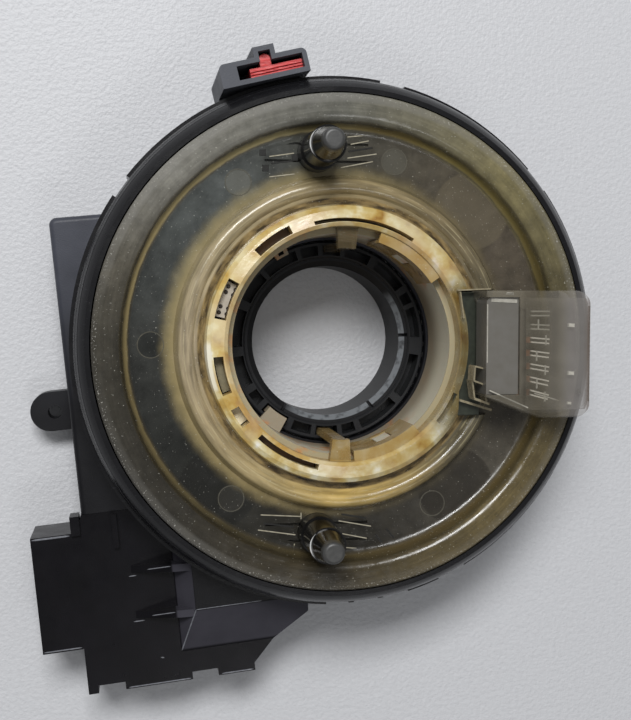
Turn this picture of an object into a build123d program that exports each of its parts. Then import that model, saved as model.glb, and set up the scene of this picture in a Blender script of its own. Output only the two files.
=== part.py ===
"""Steering clock spring: a clear rotor with drive pegs turns in a black housing.

Frame: the origin is the centre of the column bore at the rest plane, +Z runs along the
column towards the steering wheel, and the wing of the housing lies along -X.
All lengths are in millimetres and all angles in degrees.
"""
import os
from math import cos, pi, radians, sin

from build123d import *

os.makedirs("parts", exist_ok=True)

# --- clearances -----------------------------------------------------------------------
RUN_GAP = 0.3          # between pieces of different bodies
SEAT_GAP = 0.05        # between pieces of one body that are only placed together
PIN_GAP = 0.05         # radial clearance of a gear on its post
BITE = 0.5             # how far an added shape reaches into what carries it
CUT = 1.0              # how far a cut runs past what it cuts

# --- heights above the rest plane -----------------------------------------------------
COVER_LOW = 3.0        # underside of the back cover
COVER_TOP = 5.0
FLOOR_THICK = 2.0      # floor between the sensor chamber and the ribbon chamber
FLOOR_TOP = 16.0
DECK_TOP = 18.5        # top of the wing and of the connector block
DECK_THICK = 2.0
DRUM_TOP = 28.0
DISC_TOP = 36.0        # flat rim of the rotor disc
DISC_THICK = 2.0
BAND_TOP = 32.3        # sunk band between the rim and the hub
BAND_THICK = 2.0
HUB_TOP = 38.0
HUB_LOW = 33.6
FLOOR_LOW = FLOOR_TOP - FLOOR_THICK

# --- radii about the column axis ------------------------------------------------------
BORE_R = 17.0
HUB_WALL = 1.8         # of the encoder hub
RING_WIDTH = 3.7       # of the index ring
REEL_WALL = 1.8
HUB_LEDGE = 1.2        # the raised hub's bore is this far outside the reel's
HUB_WIDTH = 4.3
BEAD_OUT = 4.2
BEAD_FOOT = 2.4
SLEEVE_R = BORE_R + HUB_WALL       # outside of the encoder hub
RING_R = SLEEVE_R + RING_WIDTH     # outside of the index ring
REEL_BORE_R = RING_R + 0.8
REEL_R = REEL_BORE_R + REEL_WALL
HUB_BORE_R = REEL_BORE_R + HUB_LEDGE
HUB_STEP_R = HUB_BORE_R + HUB_WIDTH        # outside of the raised hub
BEAD_R = HUB_STEP_R + BEAD_OUT     # crest of the round bead about the hub
HUB_FOOT_R = BEAD_R + BEAD_FOOT
DISC_R = 52.0
RIM_WIDTH = 5.2
RAMP_WIDTH = 2.15
DRUM_OVER = 2.6        # the drum is this much larger than the disc
DRUM_WALL = 2.0
RING_WALL = 1.3
SNAP_REACH = 0.7
RAMP_R = DISC_R - RIM_WIDTH        # head of the ramp outside the sunk band
BAND_R = RAMP_R - RAMP_WIDTH       # foot of that ramp
BAND_MIDDLE_R = (HUB_FOOT_R + BAND_R) / 2
DRUM_R = DISC_R + DRUM_OVER
DRUM_BORE_R = DRUM_R - DRUM_WALL
COVER_RING_R = DRUM_R + RING_WALL
SNAP_R = COVER_RING_R + SNAP_REACH         # over the snap segments

ROTOR_TURN = -5.5      # the rotor's own X against the housing's X, at rest


def level(height):
    """The housing's plane at a height."""
    return Plane.XY.offset(height)


def rotor_level(height):
    """The rotor's plane at a height, turned to where the rotor rests."""
    return Plane.XY.offset(height).rotated((0, 0, ROTOR_TURN))


def arc_band(inner_r, outer_r, start, end):
    """Sketch of a ring sector, made by the sketch that is open."""
    middle = (start + end) / 2
    with BuildLine(mode=Mode.PRIVATE) as edge:
        CenterArc((0, 0), outer_r, start, end - start)
        Line((outer_r * cos(radians(end)), outer_r * sin(radians(end))),
             (inner_r * cos(radians(end)), inner_r * sin(radians(end))))
        CenterArc((0, 0), inner_r, end, start - end)
        Line((inner_r * cos(radians(start)), inner_r * sin(radians(start))),
             (outer_r * cos(radians(start)), outer_r * sin(radians(start))))
    return make_face(edge.edges(), mode=Mode.PRIVATE)


def gear_outline(module, teeth, turn):
    """Face of a spur gear with straight-flanked teeth, one tooth centred at turn."""
    pitch_r = module * teeth / 2
    root_r = pitch_r - 1.2 * module
    tip_r = pitch_r + 0.9 * module
    step = 360 / teeth
    points = []
    for tooth in range(teeth):
        middle = turn + tooth * step
        for radius, share in ((root_r, -0.34), (tip_r, -0.13), (tip_r, 0.13), (root_r, 0.34)):
            angle = radians(middle + share * step)
            points.append((radius * cos(angle), radius * sin(angle)))
    with BuildLine(mode=Mode.PRIVATE) as edge:
        Polyline(*points, close=True)
    return make_face(edge.edges(), mode=Mode.PRIVATE)


# --- wing of the housing --------------------------------------------------------------
WING_OUT = 3.8         # the wing's outer face lies this far outside the drum
WING_X = -(DRUM_R + WING_OUT)      # outer face of the wing
WING_Y_LOW = -32.0
WING_Y_HIGH = 32.5
WING_IN_X = -BORE_R     # the wing's box runs into the drum
WING_CORNER = 1.6
WING_ROUND = 1.2
HOUSING_LOW = COVER_TOP + SEAT_GAP
WING_LENGTH = WING_Y_HIGH - WING_Y_LOW
WING_WIDTH = WING_IN_X - WING_X
WING_CENTRE = ((WING_X + WING_IN_X) / 2, (WING_Y_LOW + WING_Y_HIGH) / 2)
FLOOR_BORE_R = RING_R + RUN_GAP
GATE_INSET = 2.4
GATE_WIDTH = 9.0
# gate for the circuit board in the wing's end wall
BOARD_GATE_X = (WING_X + GATE_INSET, WING_X + GATE_INSET + GATE_WIDTH)

SCREW_R = 1.2
SCREW_INSET = 6.0      # from the outside of the drum
SCREW_ANGLES = (38.0, 128.0, 232.0, 322.0)
SCREW_SPOTS = [(DRUM_R - SCREW_INSET, angle) for angle in SCREW_ANGLES]
BOSS_R = 3.2
PAD_R = 8.3            # round pads on the floor of the ribbon chamber
PAD_SPOTS = [(BAND_MIDDLE_R, angle) for angle in (39.0, 215.0, 303.0)]
PAD_HEIGHT = 0.6


def polar(spot):
    radius, angle = spot
    return (radius * cos(radians(angle)), radius * sin(radians(angle)))


# Snap windows of the cover ring, as start and end angles in the housing's frame.
SNAP_WINDOWS = [(30.5, 36.5), (70.0, 75.5), (136.5, 141.5), (186.0, 190.0), (261.7, 280.4),
                (287.8, 294.3), (323.5, 328.5)]
SNAP_HOOKS = [(267.1, 268.3), (273.7, 274.9)]
HOOK_REACH = 1.1

with BuildPart() as housing:
    with BuildSketch(level(HOUSING_LOW)):
        with Locations(WING_CENTRE):
            Rectangle(WING_WIDTH, WING_LENGTH)
    extrude(amount=DECK_TOP - HOUSING_LOW)
    outer_corners = housing.edges().filter_by(Axis.Z).group_by(Axis.X)[0]
    fillet(outer_corners.sort_by(Axis.Y)[-1], WING_CORNER)
    fillet(housing.faces().sort_by(Axis.Z)[-1].edges().group_by(Axis.X)[0], WING_ROUND)
    with BuildSketch(level(HOUSING_LOW)):
        Circle(DRUM_R)
    extrude(amount=DRUM_TOP - HOUSING_LOW)
    # ribbon chamber
    with BuildSketch(level(FLOOR_TOP)):
        Circle(DRUM_BORE_R)
    extrude(amount=DRUM_TOP - FLOOR_TOP, mode=Mode.SUBTRACT)
    with BuildSketch(level(FLOOR_TOP)):
        with Locations(*[polar(spot) for spot in PAD_SPOTS]):
            Circle(PAD_R)
    extrude(amount=PAD_HEIGHT)
    # sensor chamber under the floor and under the wing's deck
    with BuildSketch(level(HOUSING_LOW)):
        Circle(DRUM_BORE_R)
        with Locations(WING_CENTRE):
            Rectangle(WING_WIDTH, WING_LENGTH - 2 * DRUM_WALL)
        with Locations((WING_X + DRUM_WALL / 2, 0)):
            Rectangle(DRUM_WALL, WING_LENGTH * 2, mode=Mode.SUBTRACT)
    extrude(amount=FLOOR_LOW - HOUSING_LOW, mode=Mode.SUBTRACT)
    with BuildSketch(level(FLOOR_LOW)):
        with Locations(WING_CENTRE):
            Rectangle(WING_WIDTH - 2 * DRUM_WALL, WING_LENGTH - 2 * DRUM_WALL)
        Circle(DRUM_R, mode=Mode.SUBTRACT)
    extrude(amount=DECK_TOP - DECK_THICK - FLOOR_LOW, mode=Mode.SUBTRACT)
    with BuildSketch(level(FLOOR_LOW)):
        Circle(FLOOR_BORE_R)
    extrude(amount=FLOOR_THICK, mode=Mode.SUBTRACT)
    # gate for the board, screw bosses with their pilot holes
    with BuildSketch(level(HOUSING_LOW)):
        with Locations(((BOARD_GATE_X[0] + BOARD_GATE_X[1]) / 2, WING_Y_LOW)):
            Rectangle(BOARD_GATE_X[1] - BOARD_GATE_X[0], 4 * DRUM_WALL)
    extrude(amount=FLOOR_LOW - HOUSING_LOW, mode=Mode.SUBTRACT)
    with BuildSketch(level(HOUSING_LOW)):
        with Locations(*[polar(spot) for spot in SCREW_SPOTS]):
            Circle(BOSS_R)
            Circle(SCREW_R + SEAT_GAP, mode=Mode.SUBTRACT)
    extrude(amount=FLOOR_LOW - HOUSING_LOW)

housing.part.label = "housing"
export_step(housing.part, "parts/housing.step")


# --- cover ring: snaps over the drum and closes the edge of the rotor -------------------
RING_LIP_R = DISC_R + RUN_GAP
RING_LOW = 22.0
RING_SHOULDER = 29.5   # height where the rounded shoulder meets the skirt
RING_TOP = 35.4
RING_LIP = 1.0         # flat lip inside the rounded shoulder
SHOULDER_SAG = (1.1, 1.9)      # the shoulder's middle lies this far in from its sides
WINDOW_HEIGHT = 4.5
SKIRT_R = DRUM_R + SEAT_GAP
SNAP_LOW = 23.0

with BuildPart() as cover_ring:
    with BuildSketch(Plane.XZ):
        with BuildLine():
            Polyline((SKIRT_R, DRUM_TOP), (SKIRT_R, RING_LOW), (COVER_RING_R, RING_LOW),
                     (COVER_RING_R, RING_SHOULDER))
            ThreePointArc((COVER_RING_R, RING_SHOULDER),
                          (COVER_RING_R - SHOULDER_SAG[0], RING_TOP - SHOULDER_SAG[1]),
                          (RING_LIP_R + RING_LIP, RING_TOP))
            Polyline((RING_LIP_R + RING_LIP, RING_TOP), (RING_LIP_R, RING_TOP),
                     (RING_LIP_R, DRUM_TOP),
                     (SKIRT_R, DRUM_TOP))
        make_face()
    revolve(axis=Axis.Z)
    window_edges = sorted(SNAP_WINDOWS)
    for here, following in zip(window_edges, window_edges[1:] + [(window_edges[0][0] + 360, 0)]):
        with BuildSketch(level(SNAP_LOW)):
            add(arc_band(COVER_RING_R - BITE, SNAP_R, here[1], following[0]))
        extrude(amount=RING_SHOULDER - SNAP_LOW)
    for start, end in SNAP_WINDOWS:
        with BuildSketch(level(RING_LOW)):
            add(arc_band(SKIRT_R - BITE, SNAP_R + BITE, start, end))
        extrude(amount=WINDOW_HEIGHT, mode=Mode.SUBTRACT)
    for start, end in SNAP_HOOKS:
        with BuildSketch(level(RING_LOW + WINDOW_HEIGHT)):
            add(arc_band(COVER_RING_R - BITE, COVER_RING_R + HOOK_REACH, start, end))
        extrude(amount=HOOK_REACH)
cover_ring.part.label = "cover_ring"
export_step(cover_ring.part, "parts/cover_ring.step")


# --- back cover: closes the sensor chamber, with the ear and the gear posts -------------
HUB_FLANGE_R = SLEEVE_R + 1.2      # flange of the encoder hub, which turns in the cover
COVER_BORE_R = HUB_FLANGE_R + RUN_GAP
REGISTER_R = HUB_STEP_R + BEAD_OUT # collar that locates on the column
REGISTER_WALL = 3.0
EAR_OUT = 4.9          # the ear's middle lies this far outside the wing
EAR_Y = -9.9
EAR_SPOT = (WING_X - EAR_OUT, EAR_Y)
EAR_R = 4.45
EAR_HOLE = (WING_X - 4.0, EAR_Y - 0.2)
EAR_HOLE_R = 1.5
EAR_LOW = 2.0
EAR_TOP = 7.0
EAR_EDGE = 0.5

GEAR_MODULE = 0.8
HUB_TEETH = 60
GEAR_A_TEETH = 20
GEAR_B_TEETH = 18
GEAR_LOW = 6.0
GEAR_THICK = 3.0
MESH_GAP = 0.12        # added to the centre distance
POST_R = 1.5
SHOULDER_R = 2.6
GEAR_A_ANGLE = 160.0
GEAR_B_ANGLE = 200.0
GEAR_A_SPOT = (GEAR_MODULE * (HUB_TEETH + GEAR_A_TEETH) / 2 + MESH_GAP, GEAR_A_ANGLE)
GEAR_B_SPOT = (GEAR_MODULE * (HUB_TEETH + GEAR_B_TEETH) / 2 + MESH_GAP, GEAR_B_ANGLE)
POST_SPOTS = [polar(GEAR_A_SPOT), polar(GEAR_B_SPOT)]
GEAR_TOP = GEAR_LOW + GEAR_THICK

with BuildPart() as back_cover:
    with BuildSketch(level(COVER_LOW)):
        Circle(DRUM_R)
        with Locations(WING_CENTRE):
            Rectangle(WING_WIDTH, WING_LENGTH)
    extrude(amount=COVER_TOP - COVER_LOW)
    with BuildSketch(level(0)):
        Circle(REGISTER_R)
        Circle(REGISTER_R - REGISTER_WALL, mode=Mode.SUBTRACT)
    extrude(amount=COVER_LOW)
    with BuildSketch(level(COVER_LOW)):
        Circle(COVER_BORE_R)
    extrude(amount=COVER_TOP - COVER_LOW, mode=Mode.SUBTRACT)
    # ear, level with the underside of the wing
    with BuildSketch(level(EAR_LOW)):
        with Locations(EAR_SPOT):
            Circle(EAR_R)
        with Locations(((EAR_SPOT[0] + WING_X) / 2 - SEAT_GAP, EAR_SPOT[1])):
            Rectangle(WING_X - EAR_SPOT[0], 2 * EAR_R)
    extrude(amount=EAR_TOP - EAR_LOW)
    with BuildSketch(level(COVER_LOW)):
        with Locations((WING_X, EAR_SPOT[1])):
            Rectangle(EAR_R, 2 * EAR_R)
    extrude(amount=COVER_TOP - COVER_LOW)
    chamfer(back_cover.faces().filter_by(Plane.XY).sort_by(Axis.X)[0].edges()
            .group_by(Axis.Z)[-1].filter_by(GeomType.CIRCLE), EAR_EDGE)
    with BuildSketch(level(EAR_LOW)):
        with Locations(EAR_HOLE):
            Circle(EAR_HOLE_R)
    extrude(amount=EAR_TOP - EAR_LOW, mode=Mode.SUBTRACT)
    with BuildSketch(level(COVER_TOP)):
        with Locations(*POST_SPOTS):
            Circle(SHOULDER_R)
    extrude(amount=GEAR_LOW - COVER_TOP - RUN_GAP)
    with BuildSketch(level(COVER_TOP)):
        with Locations(*POST_SPOTS):
            Circle(POST_R)
    extrude(amount=GEAR_TOP - COVER_TOP)
    with BuildSketch(level(COVER_LOW)):
        with Locations(*[polar(spot) for spot in SCREW_SPOTS]):
            Circle(SCREW_R + 2 * SEAT_GAP)
    extrude(amount=COVER_TOP - COVER_LOW, mode=Mode.SUBTRACT)
back_cover.part.label = "back_cover"
export_step(back_cover.part, "parts/back_cover.step")


# --- screws of the back cover ---------------------------------------------------------
SCREW_HEAD_R = 2.3
SCREW_HEAD = 1.5
SCREW_LENGTH = 9.0

with BuildPart() as cover_screws:
    with BuildSketch(level(COVER_LOW)):
        with Locations(*[polar(spot) for spot in SCREW_SPOTS]):
            Circle(SCREW_R)
    extrude(amount=SCREW_LENGTH)
    with BuildSketch(level(COVER_LOW)):
        with Locations(*[polar(spot) for spot in SCREW_SPOTS]):
            Circle(SCREW_HEAD_R)
    extrude(amount=-SCREW_HEAD)
    with BuildSketch(level(COVER_LOW - SCREW_HEAD)):
        with Locations(*[polar(spot) for spot in SCREW_SPOTS]):
            RegularPolygon(SCREW_R, 6)
    extrude(amount=SCREW_HEAD / 2, mode=Mode.SUBTRACT)
cover_screws.part.label = "cover_screws"
export_step(cover_screws.part, "parts/cover_screws.step")


# --- connector block: the plug housing at the lower left --------------------------------
BLOCK_LOW = 4.5
BLOCK_WALL = 1.6
BLOCK_OUT = 11.3       # the block reaches this far outside the wing
BLOCK_GAP = 3.9        # from the wing's end to the block's upper edge
BLOCK_NOTCH_X = 2.5    # the corner notch ends this far outside the wing
BLOCK_NOTCH_Y = 8.6
BLOCK_LENGTH = 34.3    # along Y
BLOCK_X = WING_X - BLOCK_OUT
BLOCK_Y_TOP = WING_Y_LOW - BLOCK_GAP
BLOCK_Y_LOW = BLOCK_Y_TOP - BLOCK_LENGTH
BLOCK_Y_STEP = BLOCK_Y_LOW + BLOCK_NOTCH_Y
BLOCK_X_STEP = WING_X - BLOCK_NOTCH_X
TAB_DEPTH = 1.7
TAB_WIDTHS = (2.2, 14.8, 8.2)
TAB_GAPS = (5.9, 5.8)
TAB_STARTS = (BLOCK_X_STEP, BLOCK_X_STEP + TAB_WIDTHS[0] + TAB_GAPS[0],
              BLOCK_X_STEP + sum(TAB_WIDTHS[:2]) + sum(TAB_GAPS))
# start and end along X
TABS = [(start, start + width) for start, width in zip(TAB_STARTS, TAB_WIDTHS)]
SLANT_X = 4.8          # the block's lower edge rises from its last tab to the corner
SLANT_Y = 5.0
END_X = 8.0            # from that corner to the end
END_Y = 6.0
BLOCK_CORNER = (TABS[-1][1] + SLANT_X, BLOCK_Y_LOW + SLANT_Y)
BLOCK_END = (BLOCK_CORNER[0] + END_X, BLOCK_CORNER[1] + END_Y)
DRUM_CLEAR_R = DRUM_R + 2 * SEAT_GAP
BOARD_BAY_LOW = 11.0
BOARD_BAY_HIGH = DECK_TOP - DECK_THICK
BAY_X_LOW = BLOCK_X + BLOCK_WALL
BAY_X_STEP = BLOCK_X_STEP + BLOCK_WALL
BAY_X_HIGH = TABS[-1][1] - BLOCK_WALL
BAY_Y_TOP = BLOCK_Y_TOP - BLOCK_WALL
BAY_Y_STEP = BLOCK_Y_STEP + BLOCK_WALL
BAY_Y_LOW = BLOCK_Y_LOW + BLOCK_WALL
BAY_NARROWS = 14.0     # the bay narrows this far below the wing
BAY_CORNER_Y = WING_Y_LOW - BAY_NARROWS
SOCKET_WALL_X = 2.1    # from the block's outer face to the first socket
SOCKET_GAP = 1.7       # from the block's upper edge to the first socket
SOCKET_A_WIDTH = 20.4
SOCKET_B_INSET = 3.5   # from the notch to the second socket
SOCKET_B_WIDTH = 32.4
SOCKET_B_DEPTH = 7.2
SOCKET_A_X = BLOCK_X + SOCKET_WALL_X
SOCKET_B_X = BLOCK_X_STEP + SOCKET_B_INSET
# sockets as x low, y low, x high, y high
SOCKET_A = (SOCKET_A_X, BAY_Y_STEP, SOCKET_A_X + SOCKET_A_WIDTH, BLOCK_Y_TOP - SOCKET_GAP)
SOCKET_B = (SOCKET_B_X, BAY_Y_LOW, SOCKET_B_X + SOCKET_B_WIDTH, BAY_Y_LOW + SOCKET_B_DEPTH)
PIN_SIZE = 0.64
PIN_PITCH_A = 2.6
PIN_PITCH_B = 3.6
PIN_START_A = (SOCKET_A[0] + 1.6, SOCKET_A[3] - 2.6)
PIN_START_B = (SOCKET_B[0] + 2.4, SOCKET_B[3] - 2.0)
PINS_A = [(PIN_START_A[0] + PIN_PITCH_A * number, PIN_START_A[1]) for number in range(7)]
PINS_B = [(PIN_START_B[0] + PIN_PITCH_B * number, PIN_START_B[1]) for number in range(8)]
PARTITION = 1.0        # between the sockets and the board's bay
RAISED_TOP = 24.0
RAISED_IN = 18.5       # from the wing's outer face to the foot of the deck's sloping side
RAISED_GAP = 4.0       # the raised deck ends this far below the wing
RAISED_X = WING_X + RAISED_IN
RAISED_SLOPE = 4.0
RAISED_Y_TOP = WING_Y_LOW - RAISED_GAP
RAMP_INSET = 4.9       # from the block's lower edge to the foot of the deck's ramp
RAMP_RUN = 10.5
RAMP_FOOT_Y = BLOCK_Y_LOW + RAMP_INSET
RAMP_HEAD_Y = RAMP_FOOT_Y + RAMP_RUN
GUSSET_REACH = 9.1
GUSSET_X = RAISED_X - GUSSET_REACH
GUSSET_Y = (WING_Y_LOW - 13.4, WING_Y_LOW - 23.6)
GUSSET_THICK = 1.6
GUSSET_DROP = 0.6      # a gusset's top stays this far under the raised deck
POST_SPOT = (WING_X - 1.5, WING_Y_LOW - 2.2)   # small post where the block meets the wing
POST_SIZE = (2.0, 4.2)
POST_RISE = 1.0
RIB_SPOT = (WING_X + 6.9, WING_Y_LOW - 4.2)
RIB_SIZE = (1.2, 7.4)
RIB_RISE = 1.5

with BuildPart() as connector_block:
    with BuildSketch(level(BLOCK_LOW)):
        with BuildLine():
            Polyline((BLOCK_X, BLOCK_Y_TOP), (BLOCK_X, BLOCK_Y_STEP), (BLOCK_X_STEP, BLOCK_Y_STEP),
                     (BLOCK_X_STEP, BLOCK_Y_LOW), (TABS[-1][1], BLOCK_Y_LOW), BLOCK_CORNER,
                     BLOCK_END, (BLOCK_END[0], WING_Y_LOW - SEAT_GAP),
                     (WING_X, WING_Y_LOW - SEAT_GAP), (WING_X - 1.5, BLOCK_Y_TOP), close=True)
        make_face()
        for start, end in TABS:
            with Locations(((start + end) / 2, BLOCK_Y_LOW - TAB_DEPTH / 2)):
                Rectangle(end - start, TAB_DEPTH)
    extrude(amount=DECK_TOP - BLOCK_LOW)
    # raised deck with a ramp towards -Y and a slope towards -X
    with BuildSketch(level(DECK_TOP)):
        with BuildLine():
            Polyline((RAISED_X, RAMP_FOOT_Y), BLOCK_CORNER, BLOCK_END,
                     (BLOCK_END[0], RAISED_Y_TOP), (RAISED_X, RAISED_Y_TOP), close=True)
        make_face()
    extrude(amount=RAISED_TOP - DECK_TOP)
    with BuildSketch(Plane.YZ.offset(RAISED_X - CUT)):
        with BuildLine():
            Polyline((RAMP_FOOT_Y - CUT, DECK_TOP), (RAMP_FOOT_Y, DECK_TOP),
                     (RAMP_HEAD_Y, RAISED_TOP), (RAMP_HEAD_Y, RAISED_TOP + CUT),
                     (RAMP_FOOT_Y - CUT, RAISED_TOP + CUT), close=True)
        make_face()
    extrude(amount=BLOCK_END[0] - RAISED_X + 2 * CUT, mode=Mode.SUBTRACT)
    with BuildSketch(Plane.XZ.offset(CUT - WING_Y_LOW)):
        with BuildLine():
            Polyline((RAISED_X, DECK_TOP), (RAISED_X + RAISED_SLOPE, RAISED_TOP),
                     (RAISED_X + RAISED_SLOPE, RAISED_TOP + CUT),
                     (RAISED_X - CUT, RAISED_TOP + CUT), (RAISED_X - CUT, DECK_TOP), close=True)
        make_face()
    extrude(amount=WING_Y_LOW - BLOCK_Y_LOW, mode=Mode.SUBTRACT)
    # gussets against the sloping side
    for gusset_y in GUSSET_Y:
        with BuildSketch(Plane.XZ.offset(-gusset_y - GUSSET_THICK / 2)):
            with BuildLine():
                Polyline((GUSSET_X, DECK_TOP), (RAISED_X + RAISED_SLOPE, DECK_TOP),
                         (RAISED_X + RAISED_SLOPE, RAISED_TOP - GUSSET_DROP),
                         (RAISED_X + GUSSET_DROP, RAISED_TOP - 2 * GUSSET_DROP), close=True)
            make_face()
        extrude(amount=GUSSET_THICK)
    # post and rib where the block meets the wing
    with BuildSketch(level(DECK_TOP - 4 * POST_RISE)):
        with Locations(POST_SPOT):
            Rectangle(*POST_SIZE)
    extrude(amount=5 * POST_RISE)
    with BuildSketch(level(DECK_TOP)):
        with Locations(RIB_SPOT):
            Rectangle(*RIB_SIZE)
    extrude(amount=RIB_RISE)
    # room for the drum and, above it, for the cover ring
    with BuildSketch(level(BLOCK_LOW)):
        Circle(DRUM_CLEAR_R)
    extrude(amount=RAISED_TOP - BLOCK_LOW + CUT, mode=Mode.SUBTRACT)
    with BuildSketch(level(RING_LOW - SEAT_GAP)):
        Circle(SNAP_R + SEAT_GAP)
    extrude(amount=RAISED_TOP - RING_LOW + CUT, mode=Mode.SUBTRACT)
    # bay of the circuit board, open towards the wing
    with BuildSketch(level(BOARD_BAY_LOW)):
        with BuildLine():
            Polyline((BAY_X_LOW, BAY_Y_TOP), (BAY_X_LOW, BAY_Y_STEP), (BAY_X_STEP, BAY_Y_STEP),
                     (BAY_X_STEP, BAY_Y_LOW), (BAY_X_HIGH, BAY_Y_LOW), (BAY_X_HIGH, BAY_Y_STEP),
                     (BOARD_GATE_X[1], BAY_CORNER_Y), (BOARD_GATE_X[1], WING_Y_LOW + CUT),
                     (BOARD_GATE_X[0], WING_Y_LOW + CUT), (BOARD_GATE_X[0], BAY_Y_TOP), close=True)
        make_face()
        Circle(DRUM_CLEAR_R + BLOCK_WALL, mode=Mode.SUBTRACT)
    extrude(amount=BOARD_BAY_HIGH - BOARD_BAY_LOW, mode=Mode.SUBTRACT)
    # plug sockets, open downwards
    for x_low, y_low, x_high, y_high in (SOCKET_A, SOCKET_B):
        with BuildSketch(level(BLOCK_LOW)):
            with Locations(((x_low + x_high) / 2, (y_low + y_high) / 2)):
                Rectangle(x_high - x_low, y_high - y_low)
        extrude(amount=BOARD_BAY_LOW - PARTITION - BLOCK_LOW, mode=Mode.SUBTRACT)
    with BuildSketch(level(BOARD_BAY_LOW - PARTITION)):
        with Locations(*PINS_A, *PINS_B):
            Rectangle(PIN_SIZE + 2 * SEAT_GAP, PIN_SIZE + 2 * SEAT_GAP)
    extrude(amount=PARTITION, mode=Mode.SUBTRACT)
connector_block.part.label = "connector_block"
export_step(connector_block.part, "parts/connector_block.step")


# --- lock socket: T-shaped tower on the drum, with its red insert -----------------------
SOCKET_TURN = 8.4      # the socket's face leans this far from +X
SOCKET_LOW = 12.5
SOCKET_TOP = 34.0
SOCKET_START = -11.6   # along the socket, from the axis
SOCKET_LENGTH = 18.6
SOCKET_END = SOCKET_START + SOCKET_LENGTH
SOCKET_DEPTH = 4.9
SOCKET_WALL = 1.0
SOCKET_ROUND = 1.2
SOCKET_BUMP = (SOCKET_START + 7.7, SOCKET_START + 12.2)    # start and end along the socket
BUMP_REACH = 6.95
SOCKET_SOLID = SOCKET_START + 3.7      # the socket is solid from its start to here
SOCKET_FLOOR = 21.0
SOCKET_FACE = SNAP_R + SEAT_GAP        # straight face beside the cover ring
SOCKET_BACK = SOCKET_FACE + SOCKET_DEPTH
BUMP_BACK = SOCKET_FACE + BUMP_REACH
SOCKET_REACH = SKIRT_R - 4.0   # the foot's outline starts inside the drum, which trims it
socket_plane = Plane.XY.rotated((0, 0, SOCKET_TURN)).offset(SOCKET_LOW)

with BuildPart() as lock_socket:
    with BuildSketch(socket_plane):
        with BuildLine():
            Polyline((SOCKET_START, SOCKET_FACE), (SOCKET_START, SOCKET_BACK),
                     (SOCKET_BUMP[0], SOCKET_BACK), (SOCKET_BUMP[0], BUMP_BACK),
                     (SOCKET_BUMP[1], BUMP_BACK), (SOCKET_BUMP[1], SOCKET_BACK),
                     (SOCKET_END, SOCKET_BACK), (SOCKET_END, SOCKET_FACE), close=True)
        make_face()
    extrude(amount=SOCKET_TOP - SOCKET_LOW)
    corners = [edge for edge in lock_socket.edges().filter_by(Axis.Z)
               if min(abs(edge.center().rotate(Axis.Z, -SOCKET_TURN).X - end)
                      for end in (SOCKET_START, SOCKET_END)) < SEAT_GAP
               and edge.center().rotate(Axis.Z, -SOCKET_TURN).Y > SOCKET_FACE + SOCKET_WALL]
    fillet(corners, SOCKET_ROUND)
    with BuildSketch(socket_plane.offset(SOCKET_FLOOR - SOCKET_LOW)):
        with BuildLine():
            Polyline((SOCKET_SOLID, SOCKET_FACE + SOCKET_WALL),
                     (SOCKET_SOLID, SOCKET_BACK - SOCKET_WALL),
                     (SOCKET_BUMP[0] + SOCKET_WALL, SOCKET_BACK - SOCKET_WALL),
                     (SOCKET_BUMP[0] + SOCKET_WALL, BUMP_BACK - SOCKET_WALL),
                     (SOCKET_BUMP[1] - SOCKET_WALL, BUMP_BACK - SOCKET_WALL),
                     (SOCKET_BUMP[1] - SOCKET_WALL, SOCKET_BACK - SOCKET_WALL),
                     (SOCKET_END - SOCKET_WALL, SOCKET_BACK - SOCKET_WALL),
                     (SOCKET_END - SOCKET_WALL, SOCKET_FACE + SOCKET_WALL), close=True)
        make_face()
    extrude(amount=SOCKET_TOP - SOCKET_FLOOR, mode=Mode.SUBTRACT)
    # foot below the cover ring, against the drum
    with BuildSketch(socket_plane):
        with BuildLine():
            Polyline((SOCKET_START, SOCKET_REACH), (SOCKET_START, SOCKET_FACE + SOCKET_WALL),
                     (SOCKET_END, SOCKET_FACE + SOCKET_WALL), (SOCKET_END, SOCKET_REACH),
                     close=True)
        make_face()
        Circle(SKIRT_R, mode=Mode.SUBTRACT)
    extrude(amount=RING_LOW - SEAT_GAP - SOCKET_LOW)
lock_socket.part.label = "lock_socket"
export_step(lock_socket.part, "parts/lock_socket.step")

INSERT_LOW = SOCKET_FLOOR
INSERT_TOP = SOCKET_TOP - 1.6
INSERT_INSET = 2.7     # from the socket's solid end
INSERT_START = SOCKET_SOLID + INSERT_INSET
INSERT_WAIST = 2.0
INSERT_NECK = 2.6      # from the waist into the bump
INSERT_GROOVES = (0.6, 1.2)
GROOVE_WIDTH = 0.25
GROOVE_DEPTH = 0.4

with BuildPart() as red_insert:
    with BuildSketch(socket_plane.offset(INSERT_LOW - SOCKET_LOW)):
        insert_low = SOCKET_FACE + SOCKET_WALL + SEAT_GAP
        insert_end = SOCKET_END - SOCKET_WALL - SEAT_GAP
        with Locations(((INSERT_START + insert_end) / 2, insert_low + INSERT_WAIST / 2)):
            Rectangle(insert_end - INSERT_START, INSERT_WAIST)
        bump_middle = sum(SOCKET_BUMP) / 2
        bump_half = (SOCKET_BUMP[1] - SOCKET_BUMP[0]) / 2 - SOCKET_WALL - SEAT_GAP
        with Locations((bump_middle, insert_low + INSERT_WAIST)):
            Rectangle(2 * bump_half, INSERT_NECK)
        with Locations((bump_middle, insert_low + INSERT_WAIST + INSERT_NECK / 2)):
            Circle(bump_half)
    extrude(amount=INSERT_TOP - INSERT_LOW)
    for groove in INSERT_GROOVES:
        with BuildSketch(socket_plane.offset(INSERT_TOP - SOCKET_LOW)):
            with Locations(((INSERT_START + insert_end) / 2, insert_low + groove)):
                Rectangle(insert_end - INSERT_START, GROOVE_WIDTH)
        extrude(amount=-GROOVE_DEPTH, mode=Mode.SUBTRACT)
red_insert.part.label = "red_insert"
export_step(red_insert.part, "parts/red_insert.step")


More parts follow.
